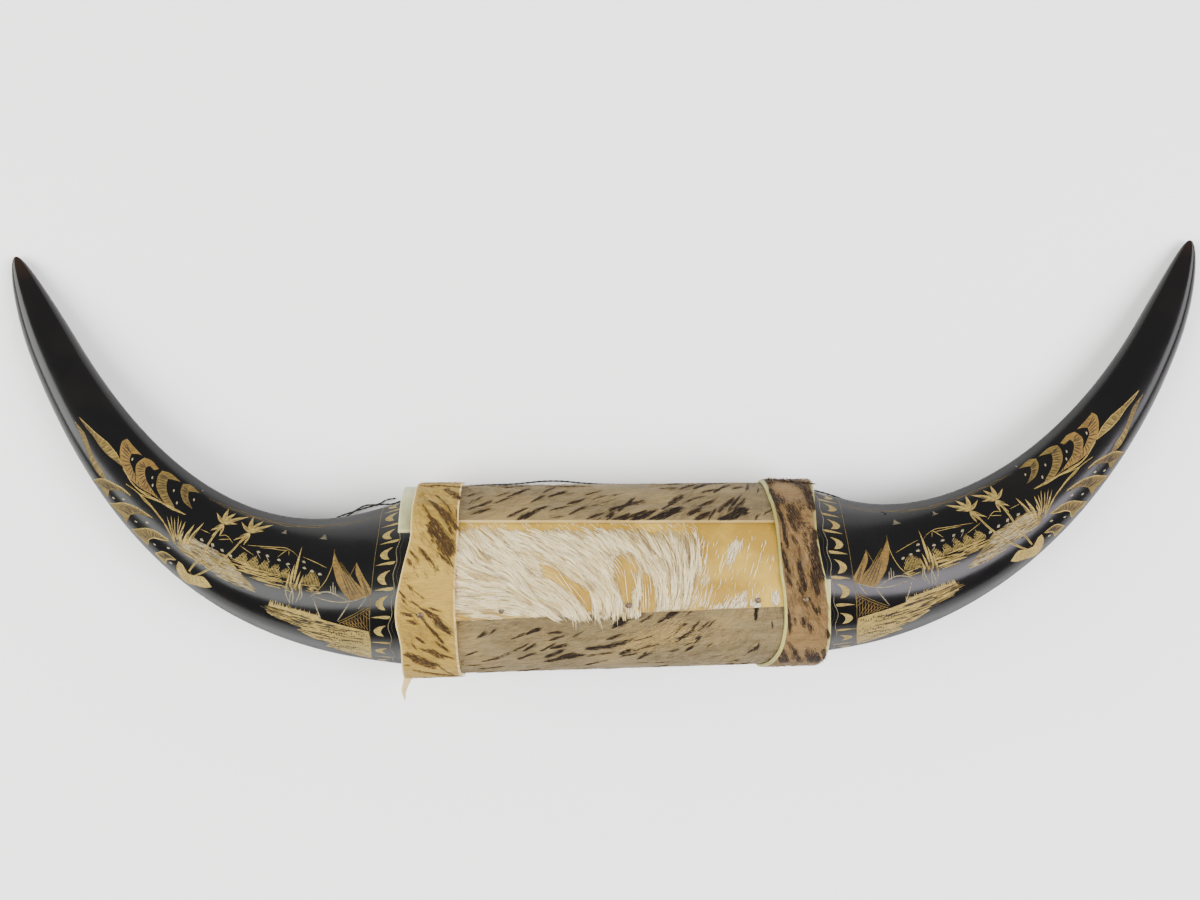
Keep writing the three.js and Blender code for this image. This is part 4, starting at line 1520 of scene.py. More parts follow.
class HornMesh:
    """A horn's fine mesh: a regular net with an engraved patch let into its front."""

    FILL_DEPTH = 0.14
    DEEPEST = 0.3

    def __init__(self, horn: Horn, seed: int) -> None:
        """Lay out the net and draw the engraving."""
        self.horn = horn
        self.flat = Flat(horn)
        self.pen = Engraving(self.flat, seed)
        Scene(self.pen).draw()
        body = np.linspace(0, horn.tip_start, horn.stations, endpoint=False)
        round_off = np.radians(np.linspace(0, 89.0, horn.tip_stations + 1))
        tip = horn.tip_start + (1 - horn.tip_start) * np.sin(round_off)
        self.t = np.concatenate([body, tip])
        self.blunt = np.concatenate([np.ones(len(body)), np.cos(round_off)])
        self.angles = 2 * np.pi * np.arange(horn.columns) / horn.columns
        self.patch_rows = int(np.searchsorted(self.flat.along_at(body), horn.patch_end))

    def _net_number(self, row: int, column: int) -> int:
        """Return the number of a net point, its column counted from the front."""
        return row * self.horn.columns + column % self.horn.columns

    def _patch(self) -> tuple[list, list, list]:
        """Cut the patch into triangles along the drawing.

        Returns:
            Its flat points with each one's net number or -1, its faces, and its cuts.
        """
        horn, pen = self.horn, self.pen
        reach = horn.patch_columns
        step = 2 * np.pi / horn.columns * Flat.SPREAD
        rows = range(self.patch_rows + 1)
        columns = range(-reach, reach + 1)
        net = [(float(self.flat.along_at(self.t[i])), j * step) for i in rows for j in columns]
        numbers = [self._net_number(i, j) for i in rows for j in columns]
        wide = len(columns)
        rim = [i * wide for i in rows][::-1] + list(range(wide))
        rim += [i * wide + wide - 1 for i in rows][1:]
        rim += [self.patch_rows * wide + j for j in range(wide)][::-1][1:-1]
        points = [Vector(point) for point in net] + [Vector(point) for point in pen.points]
        first = len(net)
        edges = list(zip(rim, rim[1:] + rim[:1])) + [(a + first, b + first) for a, b in pen.edges]
        faces = [[k + first for k in face] for face in pen.faces]
        out = delaunay_2d_cdt(points, edges, faces, 0, 1e-4, True)
        places, _, triangles, from_points, _, from_faces = out
        marks = []
        for place, sources in zip(places, from_points):
            owner = next((numbers[k] for k in sources if k < first), -1)
            sunk = max((pen.sunk[k - first] for k in sources if k >= first), default=0.0)
            marks.append((place.x, place.y, owner, sunk))
        cuts = [pen.cuts[max(sources)] if sources else Cut.POLISH for sources in from_faces]
        return marks, triangles, cuts

    def build(self, materials: Sequence[Material]) -> Object:
        """Make the horn.

        Args:
            materials: The finishes of its cuts, in the order of Cut.

        Returns:
            The object.
        """
        horn = self.horn
        rows, columns = len(self.t), horn.columns
        t = np.repeat(self.t, columns)
        angle = np.tile(self.angles, rows)
        blunt = np.repeat(self.blunt, columns)
        marks, triangles, cuts = self._patch()
        number, extra_t, extra_angle, sunk = [], [], [], []
        total = rows * columns
        for x, y, owner, depth in marks:
            if owner < 0:
                owner = total + len(extra_t)
                extra_t.append(float(self.flat.t_at(x)))
                extra_angle.append(y / Flat.SPREAD)
            number.append(owner)
            sunk.append(depth)
        t = np.concatenate([t, extra_t])
        angle = np.concatenate([angle, extra_angle])
        blunt = np.concatenate([blunt, np.ones(len(extra_t))])
        depth = np.zeros(len(t))
        depth[number] = sunk
        faces = [tuple(number[k] for k in one) for one in triangles]
        slots = [cut.value for cut in cuts]
        polished = np.zeros(len(t), dtype=bool)
        for one, slot in zip(faces, slots):
            if slot == Cut.POLISH.value:
                polished[list(one)] = True
        scraped = np.zeros(len(t), dtype=bool)
        scraped[[k for one, slot in zip(faces, slots) if slot for k in one]] = True
        depth = np.where(scraped & ~polished, np.maximum(depth, self.FILL_DEPTH), 0.0)
        depth = np.minimum(depth, self.DEEPEST)
        reach = horn.patch_columns
        for i in range(rows - 1):
            inner = i < self.patch_rows
            for j in range(reach if inner else 0, columns - reach if inner else columns):
                faces.append((self._net_number(i, j), self._net_number(i, j + 1),
                              self._net_number(i + 1, j + 1), self._net_number(i + 1, j)))
                slots.append(0)
        faces.append(tuple(range(columns))[::-1])
        faces.append(tuple(range((rows - 1) * columns, rows * columns)))
        slots += [0, 0]
        normals = horn.normal(np.minimum(t, 1 - 1e-3), angle)
        points = horn.surface(t, angle, blunt) - normals * depth[:, None]
        faces = self._turn(points, normals, faces)
        made = build_mesh(horn.name + "_engraved", points, faces, materials, slots)
        self._shade(made.data, normals, np.asarray(slots))
        LOG.info("%s: %d faces, %d cuts", horn.name, len(faces), len(self.pen.cuts))
        return made

    @staticmethod
    def _turn(points: Array, normals: Array, faces: list) -> list:
        """Turn each face so that it points the way that the horn's skin does there.

        Args:
            points: The horn's points.
            normals: The skin's direction at each.
            faces: The faces, the two ends last.

        Returns:
            The faces.
        """
        turned = []
        for one in faces[:-2]:
            a, b, c = (points[k] for k in one[:3])
            out = float(np.dot(np.cross(b - a, c - a), normals[one[0]]))
            turned.append(one[::-1] if out < 0 else one)
        return turned + faces[-2:]

    @staticmethod
    def _shade(mesh: bpy.types.Mesh, normals: Array, slots: Array) -> None:
        """Give polished faces the smooth horn's own normals, and the cuts flat ones.

        Args:
            mesh: The horn's mesh.
            normals: The smooth horn's normals at its points.
            slots: Each face's cut.
        """
        corners = np.zeros(len(mesh.loops), dtype=np.int32)
        mesh.loops.foreach_get("vertex_index", corners)
        sizes = np.zeros(len(mesh.polygons), dtype=np.int32)
        mesh.polygons.foreach_get("loop_total", sizes)
        flat = np.zeros(3 * len(mesh.polygons), dtype=np.float32)
        mesh.polygons.foreach_get("normal", flat)
        flat = np.repeat(flat.reshape(-1, 3), sizes, axis=0)
        own = np.repeat(slots == Cut.POLISH.value, sizes)
        own[-2 * sizes[-1]:] = False
        chosen = np.where(own[:, None], normals[corners], flat)
        mesh.normals_split_custom_set(chosen.tolist())


# ---- The sub-assemblies ----


@dataclass
class HornPair:
    """Both horns with their engraving."""

    left: Horn = field(default_factory=lambda: Horn(
        "horn_left", -1, ((101.8, -0.2), (214.2, -17.4), (282.7, 62.6), (330.3, 183.3)),
        34.85, 25.6, 11.2, 0.21))
    right: Horn = field(default_factory=lambda: Horn(
        "horn_right", 1, ((101.8, 1.1), (196.3, -16.5), (289.5, 65.5), (328.2, 178.7)),
        29.25, 21.6, 15.45, 0.4))
    cuts: tuple = (  # in the order of Cut
        CutHorn("scraped_straw", (0.29, 0.212, 0.056), (0.13, 0.086, 0.020)),
        CutHorn("scraped_gold", (0.13, 0.086, 0.016), (0.05, 0.031, 0.006)),
        CutHorn("scraped_russet", (0.165, 0.098, 0.018), (0.062, 0.034, 0.008)),
        CutHorn("scratched_white", (0.24, 0.205, 0.130), (0.12, 0.097, 0.054)),
        CutHorn("cut_shade", (0.022, 0.014, 0.007), (0.008, 0.006, 0.004)),
    )

    def build(self) -> None:
        """Make the horns."""
        finishes = (PolishedHorn("polished_black_horn"), *self.cuts)
        materials = [finish.material() for finish in finishes]
        for horn, seed in ((self.left, 5), (self.right, 6)):
            made = HornMesh(horn, seed).build(materials)
            stand_in_for(made, Slot.HORN, horn.name)


BACK_EDGE = 137.0  # degrees from the front to where the flat backs begin
TURNED_AWAY = (76, 284)  # degrees between which only scattered flecks grow


@dataclass(frozen=True)
class Coat:
    """A hide's short coat: pale hairs all over it, and dark ones in its flecks.

    A fleck is a stroke of dark hair: the places of its ends, its width and its strength.
    """

    name: str
    layer: Layer
    shades: dict  # colours by name: three pale ones, three dark ones, and those that extra uses
    lie: OverRoll  # degrees below the roll's length
    rooted: OverRoll  # tells where a hair may grow
    flecks: tuple
    length: tuple = (3.0, 6.0)
    radius: tuple = (0.08, 0.15)
    scattered: tuple = (0, -90.0, 90.0)  # how many flecks the back has, and from where to where
    extra: tuple = ()  # more hairs: a place, its spreads, number, shades from and to, and stand
    seed: int = 1
    density: float = 6.0  # dark hairs to a square millimetre of a fleck of full strength
    fading: float = 1.3  # how fast weaker flecks grow thinner, as a power of their strength
    swerve: float = 4.0  # degrees by which the hairs of a fleck stray from it
    back_length: tuple = (4, 11)  # the scattered flecks' lengths, widths and strengths
    back_width: tuple = (0.8, 2.6)
    back_strength: tuple = (0.5, 1.0)

    def build(self, x: Array, angle: Array) -> Object:
        """Make the coat.

        Args:
            x: The pale hairs' places along the roll.
            angle: Their degrees round it.

        Returns:
            The object.
        """
        random = np.random.default_rng(self.seed)
        hairs = Hairs(self.name, self.layer, 2)
        count = len(x)
        # Neighbours share their shade a little, so that the coat has soft clouds.
        cloud = np.sin(0.31 * x + 0.12 * angle) + np.sin(0.17 * x - 0.23 * angle)
        shade = np.digitize(cloud + random.normal(0, 1.2, count), [-0.7, 0.8])
        lie = self.lie(x, angle) + random.normal(0, 8, count)
        self._grow(hairs, random, x, angle, lie, shade)
        for fleck in [*self.flecks, *self._back_flecks(random)]:
            self._fleck(hairs, random, *fleck)
        for x, angle, spread_x, spread_angle, count, first, last, stand in self.extra:
            lie = self.lie(x, angle) + random.normal(0, 10, count)
            self._grow(hairs, random, x + random.normal(0, spread_x, count),
                       angle + random.normal(0, spread_angle, count), lie,
                       random.integers(first, last, count), stand)
        return hairs.build(dye(self.shades))

    def _back_flecks(self, random: Random) -> list[tuple]:
        """Scatter flecks over the parts that are turned away.

        Args:
            random: The coat's own draws.

        Returns:
            The flecks.
        """
        count, start, end = self.scattered
        flecks = []
        for _ in range(count):
            x, angle = random.uniform(start, end), random.uniform(*TURNED_AWAY)
            way = np.radians(float(self.lie(np.array(x), np.array(angle))) + random.normal(0, 6))
            length = random.uniform(*self.back_length)
            flecks.append((x, angle, x + length * np.cos(way), angle - ROLL.degrees(length * np.sin(way)),
                           random.uniform(*self.back_width), random.uniform(*self.back_strength)))
        return flecks

    def _fleck(self, hairs: Hairs, random: Random, x1: float, angle1: float, x2: float,
               angle2: float, width: float, strength: float) -> None:
        """Grow one fleck's hairs along it.

        Args:
            hairs: What the hairs are added to.
            random: The coat's own draws.
            x1: Where the fleck starts along the roll.
            angle1: Its start's degrees round it.
            x2: Where it ends.
            angle2: Its end's degrees.
            width: Its width.
            strength: How dense and dark it is, up to 1.
        """
        run = np.array([x2 - x1, (angle2 - angle1) / ROLL.degrees(1.0)])
        length = float(np.linalg.norm(run)) + 1e-6
        base = np.radians(float(self.lie(np.array(x1), np.array(angle1))))
        along = np.array([np.cos(base), -np.sin(base)])
        if length > 2.0:
            along = run / length * np.sign(np.dot(run, along) or 1.0)
        count = int(self.density * (length + 1.5) * (width + 0.3) * strength ** self.fading)
        share = random.uniform(-0.5, 0.5, count) * (length + 0.5) - 1.6
        side = random.normal(0, 0.27, count) * (width + 0.2) * (1 - (share / (length + 2.0)) ** 2)
        x = (x1 + x2) / 2 + share * along[0] - side * along[1]
        angle = (angle1 + angle2) / 2 + ROLL.degrees(share * along[1] + side * along[0])
        lie = np.degrees(np.arctan2(-along[1], along[0])) + random.normal(0, self.swerve, count)
        shade = 3 + np.clip((random.uniform(0, 1.4, count) + 1.9 * strength - 1.0).astype(int), 0, 2)
        self._grow(hairs, random, x, angle, lie, shade)

    def _grow(self, hairs: Hairs, random: Random, x: Array, angle: Array, lie: Array,
              shade: Array, stand: float = 1.0) -> None:
        """Grow short hairs where they may root, off the flat back.

        Args:
            hairs: What they are added to.
            random: The coat's own draws.
            x: Their places along the roll.
            angle: Their degrees round it.
            lie: Their directions, in degrees below the roll's length.
            shade: Their slots.
            stand: How much higher than usual they stand.
        """
        keep = self.rooted(x, angle) & (np.abs(from_front(angle)) < BACK_EDGE)
        x, angle, lie, shade = x[keep], angle[keep], lie[keep], shade[keep]
        count = len(x)
        hairs.plant(x, angle, lambda *_: lie, random.uniform(*self.length, count),
                    random.uniform(*self.radius, count), -0.03, random.uniform(0.03, 0.25, count) * stand,
                    random.uniform(0.0, 0.3, count) * stand, shade)


@dataclass
class Wrap:
    """The brindled hide round the roll, with its short coat and dark flecks."""

    half_length: float = 97.0
    top_edge: float = 37.0
    low_edge: float = -9.0
    coat_low: float = -18.0
    pale_hairs: int = 10000
    flecks: tuple = flecks_from(
        -735, 482, -642, 568, 13, 8, -722, 437, -645, 473, 11, 6, -705, 372, -642, 378, 12, 4,
        -745, 650, -700, 690, 10, 4, -742, 565, -685, 620, 8, 3, -620, 545, -540, 610, 8, 5,
        -588, 647, -552, 677, 8, 5, -535, 637, -492, 658, 8, 4, -505, 667, -438, 740, 18, 6,
        -638, 837, -500, 867, 7, 6, -550, 785, -475, 817, 11, 6, -505, 363, -435, 427, 22, 10,
        -442, 410, -345, 495, 17, 8, -528, 420, -452, 470, 13, 6, -555, 368, -505, 378, 10, 5,
        -415, 568, -362, 625, 13, 6, -318, 623, -250, 683, 16, 9, -348, 695, -308, 758, 12, 6,
        -332, 795, -118, 795, 11, 7, -310, 458, -235, 503, 10, 5, -218, 542, -152, 580, 12, 6,
        -210, 430, -138, 490, 10, 6, -230, 650, -200, 665, 8, 3, -308, 403, -258, 413, 7, 3,
        -422, 362, -355, 377, 7, 4, -130, 357, -60, 385, 16, 8, -118, 395, -42, 430, 11, 6,
        -45, 355, -2, 417, 22, 9, -5, 368, 78, 415, 16, 8, 2, 460, 92, 523, 20, 9, 45, 460, 115, 580, 18, 8,
        92, 523, 162, 555, 24, 6, 12, 353, 170, 438, 16, 8, 78, 352, 192, 422, 20, 10,
        -78, 597, -35, 623, 7, 4, -130, 640, -65, 687, 8, 4, 22, 628, 70, 657, 8, 4,
        30, 755, 148, 715, 13, 7, 105, 648, 148, 678, 10, 5, -90, 520, -25, 553, 7, 3,
        190, 357, 355, 460, 39, 10, 150, 387, 218, 440, 20, 9, 270, 457, 335, 553, 15, 8,
        310, 535, 375, 603, 25, 7, 308, 847, 360, 855, 10, 7, 265, 727, 342, 733, 10, 6,
        375, 722, 442, 795, 15, 8, 448, 720, 532, 845, 17, 9, 502, 828, 580, 835, 8, 8,
        492, 658, 552, 692, 13, 7, 555, 663, 630, 782, 18, 9, 645, 697, 695, 735, 17, 7,
        718, 650, 735, 788, 12, 7, 435, 368, 500, 417, 25, 8, 405, 415, 440, 435, 22, 8,
        440, 435, 465, 468, 13, 8, 465, 500, 530, 553, 14, 7, 562, 440, 638, 565, 18, 8,
        615, 455, 678, 595, 15, 8, 568, 362, 695, 437, 49, 10, 655, 478, 702, 553, 25, 6,
        502, 367, 542, 448, 10, 5, 798, 407, 822, 428, 10, 6, 745, 368, 755, 388, 8, 6,
        382, 533, 422, 570, 10, 4, 422, 570, 490, 600, 9, 4, 775, 637, 785, 692, 10, 5,
        148, 362, 178, 380, 8, 5, -702, -335, -670, -303, 16, 7, -642, -313, -625, -293, 7, 6,
        -522, -347, -475, -323, 11, 5, -438, -313, -395, -287, 16, 9, -325, -317, -285, -310, 13, 6,
        -322, -368, -270, -340, 11, 8, -525, -452, -450, -400, 8, 6, -468, -455, -422, -412, 12, 9,
        -378, -460, -322, -410, 11, 6, -318, -437, -260, -418, 20, 8, -350, -525, -278, -470, 18, 9,
        -765, -482, -720, -452, 11, 7, -685, -555, -600, -522, 13, 8, -628, -520, -550, -477, 11, 6,
        -508, -542, -425, -490, 12, 9, -352, -582, -175, -512, 23, 9, -280, -530, -220, -497, 16, 8,
        -145, -455, -30, -440, 23, 10, -45, -440, 75, -397, 24, 9, -28, -373, 35, -348, 14, 6,
        -200, -338, -170, -315, 7, 4, -135, -527, -18, -497, 16, 7, 22, -525, 80, -480, 24, 9,
        22, -552, 110, -517, 13, 8, -148, -657, -48, -592, 20, 6, 98, -397, 188, -363, 10, 5,
        80, -503, 185, -442, 14, 5, 122, -588, 188, -522, 13, 6, 28, -655, 170, -648, 11, 6,
        -750, -613, -720, -607, 8, 5, -712, -680, -605, -647, 10, 6, -15, -223, 55, -188, 14, 10,
        2, -280, 135, -187, 26, 10, 30, -235, 122, -187, 36, 10, 145, -247, 180, -225, 7, 5,
        240, -252, 292, -213, 9, 10, 282, -220, 325, -185, 25, 10, 325, -328, 358, -288, 13, 9,
        312, -418, 400, -335, 17, 10, 395, -335, 432, -275, 11, 8, 448, -312, 480, -277, 8, 7,
        490, -297, 508, -272, 7, 5, 425, -418, 442, -388, 18, 9, 268, -395, 315, -345, 6, 5,
        382, -442, 405, -427, 6, 5, 380, -502, 402, -470, 13, 9, 292, -502, 335, -490, 10, 6,
        488, -475, 502, -448, 6, 5, 712, -540, 745, -490, 13, 7, 750, -510, 755, -472, 7, 7,
        735, -257, 735, -180, 20, 10, 822, -323, 820, -297, 10, 8, 135, -463, 222, -433, 10, 6,
        138, -580, 165, -513, 12, 7, 150, -252, 180, -222, 6, 4, 385, -213, 385, -195, 7, 5,
        195, -662, 282, -653, 7, 5, 620, -687, 652, -660, 7, 6,
    )

    def hide(self) -> Object:
        """Make the hide itself."""
        skin = HideSkin("brindled_skin", (0.20, 0.150, 0.068), (0.10, 0.070, 0.030), (0.25, 0.155, 0.032),
                        30.0).material()
        edge = BareSkin("orange_cut_edge", (0.40, 0.285, 0.10), (0.30, 0.20, 0.062),
                        (0.35, 0.23, 0.08)).material()
        spec = Hide.straight(
            "wrap_hide", WRAP_LAYER, (-self.half_length, self.half_length),
            (self.top_edge, 360 + self.low_edge), (TOP_SKEW, LOW_SKEW), cut=0.8, seed=11)
        return stand_in_for(spec.build(skin, edge), Slot.BRINDLE, "hide_wrap")

    def rooted(self, x: Array, angle: Array) -> Array:
        """Tell where a hair may grow: anywhere but under the panel and the collars."""
        place = from_front(angle)
        return (np.abs(x) < self.half_length - 8) & (
            (place > self.top_edge + 0.6 + TOP_SKEW * x) | (place < self.coat_low + LOW_SKEW * x))

    @staticmethod
    def lie(x: Array, angle: Array) -> Array:
        """Return the coat's direction, which turns upwards to the right."""
        return -np.interp(x, [-85, -20, 30, 60, 75, 85], [22, 27, 33, 42, 62, 85]) + 0 * angle

    def coat(self) -> Object:
        """Make the short coat."""
        random = np.random.default_rng(31)
        x = random.uniform(-self.half_length + 8, self.half_length - 8, self.pale_hairs)
        angle = random.uniform(self.top_edge - 2, 360 + self.coat_low + 2, self.pale_hairs)
        shades = {"coat_pale": (0.245, 0.182, 0.088), "coat_sand": (0.15, 0.104, 0.045),
                  "coat_grey": (0.20, 0.160, 0.092), "coat_umber": (0.040, 0.022, 0.009),
                  "coat_dark": (0.013, 0.007, 0.003), "coat_soot": (0.008, 0.005, 0.004),
                  "coat_ochre": (0.37, 0.262, 0.10)}
        coat = Coat("wrap_coat", WRAP_LAYER, shades, self.lie, self.rooted, self.flecks,
                    scattered=(70, -84.0, 80.0), seed=32,
                    extra=((27.0, -36.0, 10.0, 5.0, 640, 6, 7, 1.0), (9.0, -44.0, 6.0, 4.0, 260, 6, 7, 1.0)))
        return stand_in_for(coat.build(x, angle), Slot.BRINDLE)

    def build(self) -> None:
        """Make the hide and its coat."""
        self.hide()
        self.coat()


def within(corners: Sequence, x: Array, angle: Array) -> Array:
    """Tell which places are inside a drawn outline.

    Args:
        corners: The outline's places.
        x: Places along the roll.
        angle: Degrees round it.

    Returns:
        Whether each place is inside.
    """
    x, angle = np.asarray(x, dtype=float), np.asarray(angle, dtype=float)
    hit = np.zeros(np.broadcast(x, angle).shape, dtype=bool)
    for (x1, y1), (x2, y2) in zip(corners, [*corners[1:], corners[0]]):
        if y1 != y2:
            crossed = (angle > min(y1, y2)) & (angle <= max(y1, y2))
            hit ^= crossed & (x < x1 + (angle - y1) * (x2 - x1) / (y2 - y1))
    return hit


@dataclass
class Panel:
    """The yellow hide on the front, with long white hair that is combed and worn through."""

    half_length: float = 97.0
    low_edge: float = PANEL_LOW
    high_edge: float = 42.0
    locks: int = 1000
    hairs_in_lock: int = 8
    under_hairs: int = 13000
    # The hair's direction at places: x, degrees round the roll, degrees below its length.
    guides: tuple = (
        (-67.5, 34.4, 48), (-71, 24.3, 56), (-62.4, 21.1, 35), (-57.6, 29.3, 42), (-45.4, 26.9, 23),
        (-35, 24.2, 31), (-26.4, 26.9, 34), (-15.9, 21.7, 35), (-3, 22.6, 45), (-63.1, 7.2, 23),
        (-70, 0.2, 14), (-64.1, -4.8, 7), (-69.2, -11.6, 0), (-48.1, 6.2, 53), (-35.4, -4.8, 32),
        (-38.9, 10.9, 18), (-27.9, -2.3, 47), (-27.2, 6.1, 35), (-20.2, -3.8, 45), (-15.1, -3.3, 43),
        (-11.1, -9.8, 75), (-12.4, 7.4, 47), (-6.5, -2.8, 47), (-2.9, 0.9, 56), (-41.4, -16.8, 24),
        (-29.8, -20.6, 40), (-16.2, -17.8, 56), (-8, -18.8, 87), (-4.2, -17.9, 78), (-55.5, -17.3, 8),
        (-1, 23.9, 49), (2.5, 21, 44), (9, 22.3, 50), (13.6, 23.3, 51), (17.4, 14.2, 60),
        (22.2, 24.5, 62), (26.5, 21.9, 58), (32.9, 22.5, 73), (35.8, 23.3, 79), (38.1, 21.2, 91),
        (43.5, 23.1, 86), (43, 8.2, 98), (23.4, 7.2, 72), (28.2, -2.3, 89), (34.1, 6, 86),
        (34.6, -7.8, 109), (40.4, -9.2, 108), (45.8, 3, 114), (47.9, -5.2, 115), (53.8, 4.5, 109),
        (64.5, 4.8, 109), (72.8, 4.3, 106), (64.9, 19, 119), (58.9, -8.3, 124), (68.4, -7.6, 114),
        (62.8, -15.4, 115), (46.2, -16.7, 127), (-0.1, 1.5, 56), (2.6, -2.3, 74), (7.5, 1.3, 78),
        (12.9, 0.2, 86), (10.8, -11.1, 87), (-3.6, -14.9, 94), (1.9, -11.2, 91), (84, -9.7, 82),
    )
    bare: tuple = (
        ((-36.8, 12.2), (-31.8, 9.5), (-26, 6), (-22.8, 1.3), (-17.8, 0), (-13.2, -5.3), (-10.5, -15),
         (-14, -16.2), (-16.8, -10.8), (-19.5, -5.8), (-24, -1.8), (-29.5, 0.8), (-34.8, 4.3), (-35.2, 7)),
        ((1, 7.3), (0.5, 12), (5.2, 18), (12, 15.2), (12.5, 6.5), (10, -2.7), (8.8, -12.8), (6.5, -12.2),
         (4.2, -6.3), (2, 0.2)),
        ((15.8, 5), (19.2, 2.3), (21.2, -5.5), (21.2, -16.5), (12.5, -16.3), (15, -9), (16.8, -2.8)),
    )
    thin: tuple = ((-51, 30.7), (-40.8, 29), (-39.5, 21), (-44.2, 16.3), (-48.8, 18.5), (-51.5, 25.5))
    # Patches of shorter hair on the bare right end: outline, number, direction, length.
    patches: tuple = (
        (((50.2, -14), (56, -12.8), (61.8, -9), (69.2, -5.3), (69.8, -10.5), (67.5, -17.2), (61.8, -17),
          (50.2, -16.7)), 190, 116.0, 4.6),
        (((64.8, 28.2), (69.2, 27.3), (65.5, 20.2), (61.8, 11), (60.8, 16.2), (62, 23.2)), 60, 113.0, 8.0),
        (((80.5, -7.5), (84.5, -5.2), (85.8, -11), (84, -14.7)), 60, 95.0, 4.0),
        (((70.5, -11), (75.5, -10.5), (76, -15.5), (71, -16)), 90, 110.0, 2.6),
        (((45, 30), (84, 27), (84, -15), (42, -16)), 75, 108.0, 4.6),
        (((45, 20), (50, 18), (52, -12), (42, -15)), 60, 110.0, 6.0),
        (((-79, 41), (44, 40), (44, 31), (-79, 33)), 130, 50.0, 3.8),
    )

    def hide(self) -> Object:
        """Make the hide itself."""
        skin = BareSkin("yellow_skin", (0.44, 0.285, 0.04), (0.27, 0.16, 0.018),
                        (0.54, 0.4, 0.11)).material()
        edge = BareSkin("yellow_cut_edge", (0.42, 0.28, 0.08), (0.3, 0.18, 0.045),
                        (0.45, 0.32, 0.12)).material()
        spec = Hide.straight(
            "panel_hide", PANEL_LAYER, (-self.half_length, self.half_length),
            (self.low_edge, self.high_edge), (LOW_SKEW, TOP_SKEW), cut=0.8, seed=12, step=2.5)
        return stand_in_for(spec.build(skin, edge), Slot.FUR, "fur_panel")

    def lie(self, x: Array, angle: Array) -> Array:
        """Return the hair's direction by the nearest guides.

        Args:
            x: Places along the roll.
            angle: Degrees round it.

        Returns:
            Degrees below the roll's length at each place.
        """
        guide_x, guide_angle, way = np.array(self.guides, dtype=float).T
        across = x[..., None] - guide_x
        round_ = (angle[..., None] - guide_angle) / ROLL.degrees(1.0)
        weight = (across ** 2 + round_ ** 2 + 9.0) ** -2.0
        return (weight * way).sum(-1) / weight.sum(-1)

    def worn(self, x: Array, angle: Array) -> Array:
        """Tell which places are in a bare patch.

        Args:
            x: Places along the roll.
            angle: Degrees round it.

        Returns:
            Whether each place is bare.
        """
        hit = np.zeros(np.broadcast(x, angle).shape, dtype=bool)
        ragged = x + 0.7 * np.sin(1.9 * angle) + 0.5 * np.sin(4.3 * angle + 0.6 * x)
        for corners in self.bare:
            hit |= within(corners, ragged, angle)
        return hit

    def cover(self, x: Array, angle: Array) -> Array:
        """Return how thickly the hair grows.

        Args:
            x: Places along the roll.
            angle: Degrees round it.

        Returns:
            A share from 0 to 1 at each place.
        """
        top = np.interp(x, [-97, -58, -48, 45], [35.5, 34.5, 31.5, 30.5])
        right = np.interp(angle, [-16.3, -1, 14.5, 34], [39.5, 43, 44.7, 45.5])
        thick = 1 - smoothstep(angle, top - 4, top + 4.5)
        thick *= 1 - smoothstep(x, right - 2.5, right + 0.8)
        thick *= np.where(within(self.thin, x, angle), 0.45, 1.0)
        thick *= 1 - 0.4 * smoothstep(x, 12, 24) * smoothstep(angle, 8, 16)
        thick *= 1 - 0.65 * smoothstep(-x, 38, 55) * smoothstep(-angle, 9, 15)
        return thick * np.where(self.worn(x, angle), 0.05, 1.0)

    def _stop(self, over: Array, strict: Array) -> OverRoll:
        """Make the test that ends hairs at the hide's edge and at bare patches.

        Args:
            over: How many degrees each hair may hang past the lower edge.
            strict: Whether each hair stops at bare patches.

        Returns:
            The test.
        """
        def ends(path_x: Array, path_angle: Array) -> Array:
            """Tell where hairs have to end."""
            hang = np.where((path_x > -33) & (path_x < 15), over[:, None], -0.3)
            past = path_angle < self.low_edge + LOW_SKEW * path_x - hang
            return past | (self.worn(path_x, path_angle) & strict[:, None])
        return ends

    def _places(self, random: Random, count: int) -> tuple[Array, Array]:
        """Choose places for roots by the hair's cover.

        Args:
            random: The hair's own draws.
            count: How many places there are at most.

        Returns:
            The places along the roll and their degrees round it.
        """
        x = random.uniform(-86, 47, 3 * count)
        angle = random.uniform(self.low_edge + 0.5, 36, 3 * count)
        kept = random.uniform(0, 1, 3 * count) < self.cover(x, angle)
        return x[kept][:count], angle[kept][:count]

